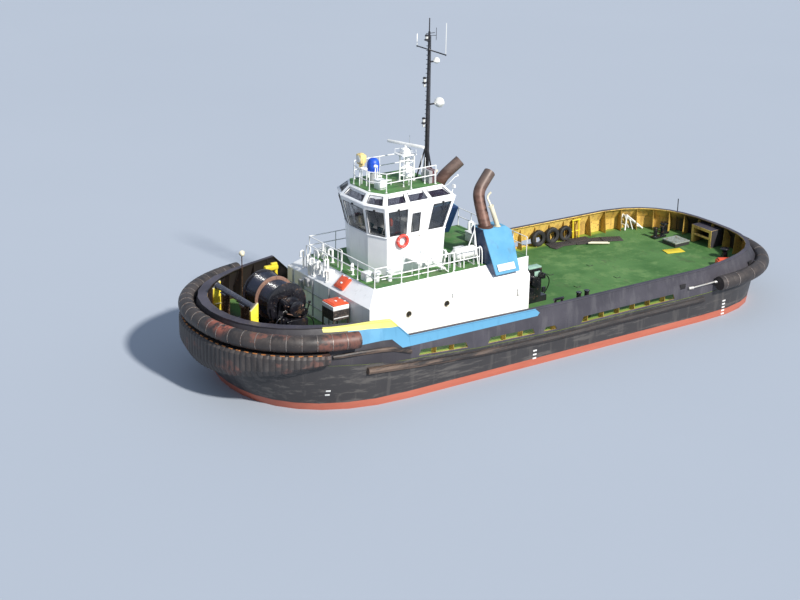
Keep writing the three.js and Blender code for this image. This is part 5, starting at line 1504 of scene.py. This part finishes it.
shaft_x, shaft_z = 13.8, 4.45
shaft = at(shaft_x, 0, shaft_z) @ Matrix.Rotation(radians(-90), 4, "X")
bm = bmesh.new()
for low, high, radius in ((-1.16, -0.05, 1.045), (0.05, 1.16, 0.985)):
    lathe(bm, [(0.12, low - 0.005), (0.6, low - 0.005)] + windings(low, high, radius, 15)
          + [(0.6, high + 0.005), (0.12, high + 0.005), (0.12, low - 0.005)], shaft, 48)
weld(bm, "winch_windings", wound_rope, "winch_drum", sharp=60)
bm = bmesh.new()
cheek = [(0.0, 1.3297), (0.13, 1.3297), (0.13, 1.25), (1.10, 1.25), (1.145, 1.235), (1.148, 1.19),
         (1.10, 1.17), (0.55, 1.17), (0.55, 0.04), (0, 0.04)]
lathe(bm, [(radius, -height) for radius, height in cheek], shaft, 48)
lathe(bm, cheek[::-1], shaft, 48)
for y in (-1.25, 1.25):
    for k in range(12):
        arm = shaft @ Matrix.Rotation(2 * pi * k / 12, 4, "Z") @ at(0.62, 0, y)
        block(bm, (-0.38, -0.02, -0.008), (0.38, 0.02, 0.008), 0.006, arm)
weld(bm, "winch_cheeks", winch_black, "winch_drum", replaces=("winch_drum",), sharp=40)
ring_brown = paint("ring_brown", (0.33, 0.19, 0.14), rough=0.4, chip=(0.12, 0.07, 0.05), chipped=0.6,
                   metal=0.4)
bm = bmesh.new()
lathe(bm, [(0.55, -0.04), (1.09, -0.04), (1.148, -0.025), (1.148, 0.025), (1.09, 0.04), (0.55, 0.04),
           (0.55, -0.04)], shaft, 48)
weld(bm, "winch_middle_ring", ring_brown, "winch_drum", sharp=40)

bm = bmesh.new()
for y, r in ((1.49, 0.46), (2.02, 0.40)):
    lathe(bm, [(0, 0), (r, 0), (r + 0.02, 0.02), (r + 0.02, 0.07), (r - 0.04, 0.10), (r * 0.5, 0.12),
               (0, 0.12)], aimed((13.7, y, shaft_z), (0, 1, 0)), 28)
    ring_of_bolts(bm, aimed((13.7, y + 0.10, shaft_z), (0, 1, 0)), r * 0.78, 10, 0.022)
for x, z, r in ((14.35, 3.85, 0.24), (13.15, 4.15, 0.20), (14.2, 4.75, 0.16), (13.35, 3.55, 0.17)):
    bar(bm, (x, 1.49, z), (x, 1.92, z), r, 20)
    bar(bm, (x, 1.90, z), (x, 1.98, z), r * 0.6, 14)
    ring_of_bolts(bm, aimed((x, 1.92, z), (0, 1, 0)), r * 0.8, 8, 0.018)
for x0, z0, x1, z1 in ((14.55, 3.35, 14.75, 4.65), (13.05, 3.3, 12.75, 4.55), (14.05, 3.2, 14.5, 3.9)):
    bar(bm, (x0, 1.62, z0), (x1, 1.72, z1), 0.035)
    block(bm, (x1 - 0.06, 1.66, z1 - 0.05), (x1 + 0.06, 1.78, z1 + 0.07), 0.02)
band = [(1.185, -0.05), (1.205, -0.05), (1.205, 0.05), (1.185, 0.05), (1.185, -0.05)]
for side in (1, -1):
    hoop = lathe(bm, band, at(shaft_x, side * 1.205, shaft_z) @ Matrix.Rotation(radians(90), 4, "X"), 60)
    edges = {edge for vert in hoop for edge in vert.link_edges}
    faces = {face for vert in hoop for face in vert.link_faces}
    bmesh.ops.bisect_plane(bm, geom=hoop + list(edges) + list(faces), plane_co=(shaft_x, 0, 3.75),
                           plane_no=(0, 0, 1), clear_outer=True)
    for x in (12.82, 14.78):
        bar(bm, (x, side * 1.205, 3.0), (x, side * 1.205, 3.74), 0.035)
for x in (12.55, 13.0, 14.6, 14.95):
    for side in (1, -1):
        sided(bm, side, (x - 0.12, 1.50, 2.93), (x + 0.12, 1.70, 3.10), 0.02)
pipe(bm, [(12.6, 1.9, 3.0), (12.6, 1.95, 3.6), (13.0, 1.95, 3.95), (13.3, 1.85, 4.0)], 0.03, 3, bent=True)
pipe(bm, [(14.9, 1.6, 3.0), (14.95, 1.8, 3.5), (14.7, 1.85, 4.0), (14.4, 1.8, 4.1)], 0.03, 3, bent=True)
weld(bm, "winch_gear", winch_black, sharp=40)
bm = bmesh.new()
block(bm, (13.25, 2.05, 3.0), (13.75, 2.14, 3.65), 0.015)
for k in range(5):
    x, rise = 14.12 + k * 0.045, k * 0.02
    bar(bm, (x, 1.75, 4.50 + rise), (x, 1.95, 4.62 + rise), 0.02, 8)
bar(bm, (14.05, 2.06, 4.2), (13.35, 2.10, 4.62), 0.035)
bar(bm, (13.5, 2.06, 4.0), (14.3, 2.10, 4.32), 0.03)
weld(bm, "winch_brake_gear", ring_brown, sharp=40)

# BOW STAPLE
# Two yellow legs of thick plate carry a round bar; the towline runs under it, between two upright rollers.
# Legs, bar and sill are welded to the deck; the rollers turn in the sill and are scraped brown and bright.


def staple_look(start):
    place = start.place()
    toward = start.facing().axes()
    cloud = place.noise(1.5)
    fine = place.fine(8.0)
    # the legs' yellow comes as a sunlit copy on faces turned to port and as a darker copy, painted shade,
    # on the others
    lemon = cloud.over(0.5, 0.2).tint((0.78, 0.58, 0.03), (0.92, 0.78, 0.07))
    painted_shade_yellow = cloud.over(0.5, 0.2).tint((0.42, 0.24, 0.03), (0.66, 0.42, 0.06))
    yellow = toward[1].over(0.4, 0.1).tint(painted_shade_yellow, lemon)
    yellow = (fine.over(0.62, 0.05) * 0.7).tint(yellow, (0.16, 0.08, 0.03))
    # faces turned up are painted pale cream, a painted highlight on the tops of the legs
    return {
        "Base Color": toward[2].over(0.5, 0.1).tint(yellow, (0.85, 0.74, 0.42)),
        "Roughness": 0.42 + (fine - 0.5) * 0.3,
        "Normal": (fine + cloud).bump(0.35, 0.008),
    }


staple_yellow = finish("staple_yellow", staple_look)
bm = bmesh.new()
leg_outline = [(15.88, 2.72), (16.32, 2.72), (16.32, 4.80), (15.88, 5.18)]
for side in (1, -1):
    old = set(bm.verts)
    thick_sheet(bm, [(x, side * 1.84, z) for x, z in leg_outline], (0, side * 0.14, 0))
    edges = {edge for vert in set(bm.verts) - old for edge in vert.link_edges}
    bmesh.ops.bevel(bm, geom=list(edges), offset=0.012, segments=2, profile=0.5, affect="EDGES",
                    material=-1)
    for z in (3.35, 4.0):
        sided(bm, side, (15.92, 1.70, z), (16.28, 1.845, z + 0.025), 0.006)
weld(bm, "bow_staple_legs", staple_yellow, replaces=("bow_staple",), sharp=35)
bar_grey = paint("bar_grey", (0.085, 0.088, 0.115), rough=0.32, chip=(0.30, 0.27, 0.25), chipped=0.6,
                 metal=0.4)
bm = bmesh.new()
staple_x, bar_z = 16.08, 4.96
bar(bm, (staple_x, -1.86, bar_z), (staple_x, 1.86, bar_z), 0.148, 28)
block(bm, (15.88, -1.86, 2.72), (16.32, 1.86, 2.998), 0.02)
for side in (1, -1):
    bar(bm, (staple_x, side * 1.80, bar_z), (staple_x, side * 1.835, bar_z), 0.19, 28)
    sided(bm, side, (15.86, 0.71, 4.80), (16.30, 1.19, 4.86), 0.015)
weld(bm, "bow_staple_bar", bar_grey, sharp=40)
dark_brown = paint("dark_brown", (0.085, 0.045, 0.03), rough=0.35, chip=(0.34, 0.22, 0.15), chipped=0.58,
                   metal=0.5)
bm = bmesh.new()
for y in (0.95, -0.95):
    lathe(bm, [(0, 0.0), (0.25, 0.0), (0.25, 0.06), (0.215, 0.10), (0.20, 0.5), (0.195, 0.9), (0.20, 1.3),
               (0.215, 1.70), (0.25, 1.74), (0.25, 1.79), (0, 1.79)], at(staple_x, y, 3.0), 28)
weld(bm, "bow_staple_rollers", dark_brown, sharp=40)

# FOREDECK GEAR
# Yellow bitts stand by the bulwark each side, with mooring leads, a lamp on a thin post and a pipe bench.
# Rollers and fairleads are cast steel, painted dark and rubbed bright where the lines run.
guide_yellow = paint("guide_yellow", (0.80, 0.62, 0.04), rough=0.4, chip=(0.3, 0.2, 0.05), chipped=0.64)
eased_pair("bitts_fore", guide_yellow, edge=0.015)
bm = bmesh.new()
for y in (4.7, -4.7):
    for x in (11.32, 11.88):
        lathe(bm, [(0.128, 0.55), (0.150, 0.56), (0.150, 0.60), (0.128, 0.61), (0.128, 0.55)],
              at(x, y, 2.35), 20)
        lathe(bm, [(0, 0.0), (0.155, 0.0), (0.168, 0.015), (0.168, 0.045), (0.15, 0.06), (0, 0.065)],
              at(x, y, 3.87), 20)
    bar(bm, (11.18, y, 3.15), (12.02, y, 3.15), 0.055, 12)
block(bm, (10.98, -4.56, 4.16), (11.80, -4.26, 4.44), 0.08)
block(bm, (11.02, -4.50, 4.42), (11.40, -4.32, 4.56), 0.05)
for x in (11.08, 11.70):
    bar(bm, (x, -4.41, 2.3), (x, -4.41, 4.18), 0.09, 14)
weld(bm, "foredeck_yellow_gear", guide_yellow, sharp=40)
bm = bmesh.new()
lathe(bm, [(0, 0), (0.14, 0.0), (0.17, 0.04), (0.10, 0.22), (0.06, 0.26), (0, 0.27)],
      aimed((13.0, -4.74, 5.34), (0.25, 0.9, -0.3)), 18)
weld(bm, "foredeck_lamp", cream, sharp=40)
bm = bmesh.new()
bar(bm, (13.0, -4.72, 2.45), (13.0, -4.72, 5.32), 0.028)
for side in (1, -1):
    for x, y in ((12.9, 4.1), (15.0, 3.2)):
        lathe(bm, [(0, 0), (0.30, 0.0), (0.30, 0.05), (0.17, 0.12), (0.15, 0.5), (0.24, 0.62), (0.26, 0.66),
                   (0.22, 0.70), (0, 0.71)], at(x, side * y, deck_at(x)), 24)
    for x in (10.1, 11.0, 12.4):
        sided(bm, side, (x - 0.05, 5.08, deck_at(x)), (x + 0.05, 5.52, deck_at(x) + 0.8), 0.02)
for x in (10.75, 11.35, 11.95):
    bars(bm, [((x, 3.0, 2.3), (x, 3.0, 3.30), 0.03, 10), ((x, 3.55, 2.3), (x, 3.55, 2.85), 0.03, 10),
              ((x, 3.0, 2.85), (x, 3.55, 2.85), 0.03, 10)])
for z, y in ((3.28, 3.0), (3.05, 3.0), (2.86, 3.08), (2.86, 3.30), (2.86, 3.52)):
    block(bm, (10.68, y - 0.05, z - 0.02), (12.02, y + 0.05, z + 0.02), 0.01)
block(bm, (11.6, 1.2, 2.3), (12.25, 2.6, 2.75), 0.04)
weld(bm, "foredeck_dark_gear", dark_brown, sharp=40)

# TOWING WINCH
# Lower winch behind the house: a bare drum between side plates, with its motor and gear case to port.
# A pale green cover lies over the motor; the frame is black and greasy.
eased("tow_winch_frame", winch_black, edge=0.012)
aft_shaft = at(-1.7, 0, 2.95) @ Matrix.Rotation(radians(-90), 4, "X")
bm = bmesh.new()
port_cheek = [(0.42, 1.21), (0.74, 1.21), (0.775, 1.225), (0.775, 1.265), (0.74, 1.28), (0.11, 1.28),
              (0.11, 1.3997), (0, 1.3997)]
starboard_cheek = [(0, -1.5297), (0.11, -1.5297), (0.11, -1.40), (0.74, -1.40), (0.775, -1.385),
                   (0.775, -1.345), (0.74, -1.33), (0.42, -1.33)]
lathe(bm, starboard_cheek + windings(-1.325, 1.205, 0.46, 28) + port_cheek, aft_shaft, 40)
weld(bm, "tow_winch_drum_turned", wound_rope, "tow_winch_drum", replaces=("tow_winch_drum",),
     sharp=50)
bm = bmesh.new()
for z, x, r in ((3.0, -1.7, 0.30), (2.5, -1.35, 0.22), (3.35, -2.05, 0.16)):
    bar(bm, (x, 1.97, z), (x, 2.16, z), r, 22)
    ring_of_bolts(bm, aimed((x, 2.16, z), (0, 1, 0)), r * 0.78, 8, 0.02)
for x, z in ((-2.35, 2.4), (-1.1, 2.4), (-2.3, 3.2)):
    block(bm, (x - 0.12, 1.96, z - 0.15), (x + 0.12, 2.07, z + 0.15), 0.02)
pipe(bm, [(-1.2, 2.0, 2.1), (-1.0, 2.2, 2.5), (-1.1, 2.2, 3.1), (-1.4, 2.05, 3.3)], 0.03, 3, bent=True)
pipe(bm, [(-2.5, 1.9, 2.1), (-2.7, 2.1, 2.6), (-2.6, 2.1, 3.2), (-2.3, 2.0, 3.35)], 0.03, 3, bent=True)
for x in (-0.55, -1.0):
    bar(bm, (x, 5.2, 1.71), (x, 5.2, 3.2), 0.07, 14)
    bar(bm, (x, 4.85, 1.71), (x, 5.2, 2.6), 0.04)
bar(bm, (-0.45, 5.2, 3.15), (-1.1, 5.2, 3.15), 0.075, 14)
block(bm, (-1.2, 4.8, 1.70), (-0.35, 5.45, 1.76), 0.01)
weld(bm, "tow_winch_gear", winch_black, sharp=40)
pale_green = paint("pale_green", (0.32, 0.50, 0.40), rough=0.5, chip=(0.14, 0.2, 0.16), chipped=0.6)
bm = bmesh.new()
block(bm, (-2.18, 1.52, 3.70), (-1.28, 1.98, 3.80), 0.03)
block(bm, (-2.05, 1.982, 3.25), (-1.65, 2.03, 3.55), 0.02)
weld(bm, "tow_winch_cover", pale_green)

# BITTS, HATCH AND TYRES AFT
# Twin steel posts stand on base plates; the hatch lid is grey steel with clips and two hinges.
# Worn tyres lean against the bulwark to starboard.
eased_pair("bitts_aft", winch_black, edge=0.012)
eased("bitts_stern", winch_black, edge=0.012)
eased("hatch_coaming", finish("coaming_green", hull_look), edge=0.01)
lid_grey = paint("lid_grey", (0.30, 0.33, 0.30), rough=0.55, chip=(0.12, 0.16, 0.10), chipped=0.56)
eased("hatch_lid", lid_grey, "hatch_lid", edge=0.01)
bm = bmesh.new()
for x in (-15.75, -15.0):
    for y in (-1.6, -0.85):
        block(bm, (x - 0.05, y - 0.05, 2.126), (x + 0.05, y + 0.05, 2.142), 0.006)
pipe(bm, [(-15.55, -1.4, 2.126), (-15.55, -1.4, 2.20), (-15.55, -1.05, 2.20), (-15.55, -1.05, 2.126)],
     0.014)
for y in (-1.5, -0.95):
    block(bm, (-14.86, y - 0.04, 2.120), (-14.785, y + 0.04, 2.145), 0.006)
weld(bm, "hatch_lid_clips", brass, "hatch_lid")


def tyre_look(start):
    place = start.place()
    fine = place.fine(8.0)
    dust = place.noise(1.8, 5.0, 0.6)
    coat = dust.over(0.5, 0.2).tint((0.010, 0.010, 0.010), (0.032, 0.031, 0.030))
    return {
        "Base Color": (fine.over(0.62, 0.05) * 0.6).tint(coat, (0.09, 0.085, 0.08)),
        "Roughness": 0.7 + (dust - 0.5) * 0.3,
        "Normal": fine.bump(0.5, 0.008),
    }


tyre_rubber = finish("tyre_rubber", tyre_look)
for name, x, r in (("tyre_1", -8.10, 0.52), ("tyre_2", -9.18, 0.52), ("tyre_3", -10.22, 0.48)):
    bm = bmesh.new()
    hub = aimed((x, -5.6, deck_at(x) + r - 0.02), (0, 1, 0))
    outside = [(r * 0.52, 0.088), (r * 0.60, 0.112), (r * 0.74, 0.127), (r - 0.06, 0.125),
               (r - 0.014, 0.095), (r - 0.006, 0.07)]
    inside = [(r * 0.56, 0.06), (r * 0.66, 0.04)]
    near_half = [(radius, -height) for radius, height in outside]
    lathe(bm, near_half + outside[::-1] + inside + [(radius, -height) for radius, height in inside[::-1]]
          + near_half[:1], hub, 36)
    for k in range(28):
        lug = hub @ Matrix.Rotation(2 * pi * k / 28, 4, "Z") @ at(r - 0.008, 0, 0)
        block(bm, (-0.01, -0.022, 0.012), (0.008, 0.022, 0.088), 0.0, lug)
        block(bm, (-0.01, -0.022, -0.088), (0.008, 0.022, -0.012), 0.0, lug)
    weld(bm, name + "_worn", tyre_rubber, replaces=(name,), sharp=45)

# AFT DECK GEAR
# Loose working gear: rubber mats under the bulwark, a cream pole, a small gangway and a yellow plate.
# A pipe frame, an orange-red cover by the quarter and a short staff at the stern are fixed to the bulwark.
mat_dark = paint("mat_dark", (0.045, 0.038, 0.036), rough=0.85, chip=(0.10, 0.085, 0.075), chipped=0.55,
                 grain=3.0)
bm = bmesh.new()
mats = [(-9.75, -5.05, 2.3, 0.75, 0.06, -0.18), (-11.4, -4.62, 2.1, 0.95, 0.05, -0.28),
        (-12.7, -4.1, 1.3, 0.8, 0.06, -0.42), (-10.9, -5.1, 1.5, 0.7, 0.09, -0.1),
        (-9.0, -4.85, 0.9, 0.5, 0.07, 0.3)]
for x, y, long, wide, thick, turn in mats:
    lay = at(x, y, deck_at(x) + 0.001) @ Matrix.Rotation(turn, 4, "Z")
    block(bm, (-long / 2, -wide / 2, 0), (long / 2, wide / 2, thick), 0.025, lay)
    for k in range(int(long / 0.14)):
        rib = -long / 2 + 0.08 + k * 0.14
        half = wide / 2 - 0.04
        block(bm, (rib, -half, thick - 0.004), (rib + 0.05, half, thick + 0.012), 0.005, lay)
weld(bm, "rubber_mats", mat_dark)
bm = bmesh.new()
bar(bm, (-10.85, -4.12, 1.86), (-11.95, -3.42, 1.86), 0.055, 14)
bar(bm, (-11.10, -4.20, 1.84), (-12.00, -3.62, 1.84), 0.045, 14)
weld(bm, "cream_poles", cream)
bm = bmesh.new()
for x, y in ((-14.45, -5.25), (-14.45, -4.85)):
    bars(bm, [((x, y, 1.86), (x - 0.15, y - 0.05, 2.85), 0.05, 10),
              ((x - 0.15, y - 0.05, 2.80), (x - 1.15, y + 0.35, 1.90), 0.05, 10),
              ((x - 0.55, y + 0.1, 1.86), (x - 0.30, y, 2.65), 0.035, 10)])
for k in range(5):
    x, y, z = -14.62 - k * 0.2375, -5.28 + k * 0.095, 2.76 - k * 0.21
    bar(bm, (x, y, z), (x, y + 0.4, z), 0.03, 8)
bar(bm, (-14.47, -5.27, 2.2), (-14.47, -4.87, 2.2), 0.03, 8)
weld(bm, "gangway", rail_white)
bm = bmesh.new()
plate = at(-14.35, -0.30, deck_at(-14.35) + 0.001) @ Matrix.Rotation(radians(-14), 4, "Z")
block(bm, (-0.60, -0.36, 0), (0.60, 0.36, 0.022), 0.008, plate)
for x in (-0.5, 0.5):
    for y in (-0.28, 0.28):
        block(bm, (x - 0.03, y - 0.03, 0.02), (x + 0.03, y + 0.03, 0.034), 0.004, plate)
for x in (-10.82, -11.28):
    bar(bm, (x, -5.55, 1.72), (x, -5.62, 2.95), 0.055)
for z in (2.2, 2.9):
    bar(bm, (-10.72, -5.58, z), (-11.38, -5.58, z), 0.045)
weld(bm, "yellow_deck_gear", guide_yellow)
bm = bmesh.new()
hump = at(-15.15, 3.45, 2.02) @ Matrix.Rotation(radians(-28), 4, "Z")
blocks(bm, [((-0.72, -0.30, -0.16), (0.72, 0.30, 0.26), 0.12),
            ((-0.60, -0.22, 0.22), (0.60, 0.22, 0.30), 0.04)], hump)
weld(bm, "quarter_case", lid_orange)
bm = bmesh.new()
for x, y in ((-16.2, -3.2), (-15.9, 2.4)):
    lathe(bm, [(0, 0), (0.34, 0.0), (0.34, 0.04), (0.20, 0.10), (0.17, 0.45), (0.25, 0.56), (0.28, 0.60),
               (0.24, 0.65), (0, 0.66)], at(x, y, deck_at(x)), 24)
bar(bm, (-17.0, -2.95, 1.9), (-17.0, -2.95, 4.0), 0.03)
for x in (-5.5, -8.5):
    for y in (1.22, -1.22):
        for dx, dy in ((0.1, 0.1), (0.1, -0.1), (-0.1, 0.1), (-0.1, -0.1)):
            bar(bm, (x + dx, y + dy, 1.742), (x + dx, y + dy, 1.748), 0.02, 12)
weld(bm, "stern_dark_gear", winch_black, sharp=40)

# THRUSTERS
# Each azimuth unit is a cast leg with a bulb and a ring nozzle, painted red; the propeller is cast bronze.
# The leg turns in the hull's bottom, and the propeller turns on a shaft inside the nozzle.
red_bottom = finish("red_bottom", hull_look)
eased_pair("thruster", red_bottom, True, sharp=40)
bronze = paint("bronze", (0.52, 0.36, 0.14), rough=0.35, chip=(0.20, 0.24, 0.15), chipped=0.6, metal=0.85)
eased_pair("propeller", bronze, True, sharp=40)

# STUDIO
# A plain pale floor at the waterline, one sun-like lamp high on the port side and a pale sky.
# The camera looks at the port bow from above, as in the photograph.
floor = bmesh.new()
bmesh.ops.create_grid(floor, x_segments=4, y_segments=4, size=400)
floor_mesh = bpy.data.meshes.new("floor")
floor.to_mesh(floor_mesh)
floor.free()
floor_sheet = bpy.data.objects.new("floor", floor_mesh)
bpy.context.scene.collection.objects.link(floor_sheet)
floor_mesh.materials.append(finish("floor_paint", lambda start: {
    "Base Color": start.place().noise(0.02).over(0.5, 0.4).tint((0.36, 0.40, 0.46), (0.38, 0.42, 0.48)),
    "Roughness": 0.75,
}))

lamp = bpy.data.lights.new("key_lamp", "SUN")
lamp.energy = 5.2
lamp.angle = radians(4)
lamp.color = (1.0, 0.97, 0.92)
key = bpy.data.objects.new("key_lamp", lamp)
key.rotation_mode = "QUATERNION"
key.rotation_quaternion = Vector((-0.08, 0.80, 0.61)).to_track_quat("Z", "Y")
bpy.context.scene.collection.objects.link(key)

sky = bpy.data.worlds.new("sky")
sky.use_nodes = True
sky.node_tree.nodes["Background"].inputs["Color"].default_value = (0.58, 0.70, 0.90, 1.0)
sky.node_tree.nodes["Background"].inputs["Strength"].default_value = 0.6
bpy.context.scene.world = sky
bpy.context.scene.view_settings.view_transform = "Standard"

lens = bpy.data.cameras.new("camera")
lens.lens = 78.62
lens.sensor_width = 36.0
lens.clip_end = 1000.0
camera = bpy.data.objects.new("camera", lens)
toward = Vector((0.53665, 0.76849, 0.34847))
camera.location = Vector((5.96, 0.0, 2.76)) + toward * 94.11
camera.rotation_mode = "QUATERNION"
camera.rotation_quaternion = toward.to_track_quat("Z", "Y") @ Quaternion((0, 0, 1), radians(1.04))
bpy.context.scene.collection.objects.link(camera)
bpy.context.scene.camera = camera
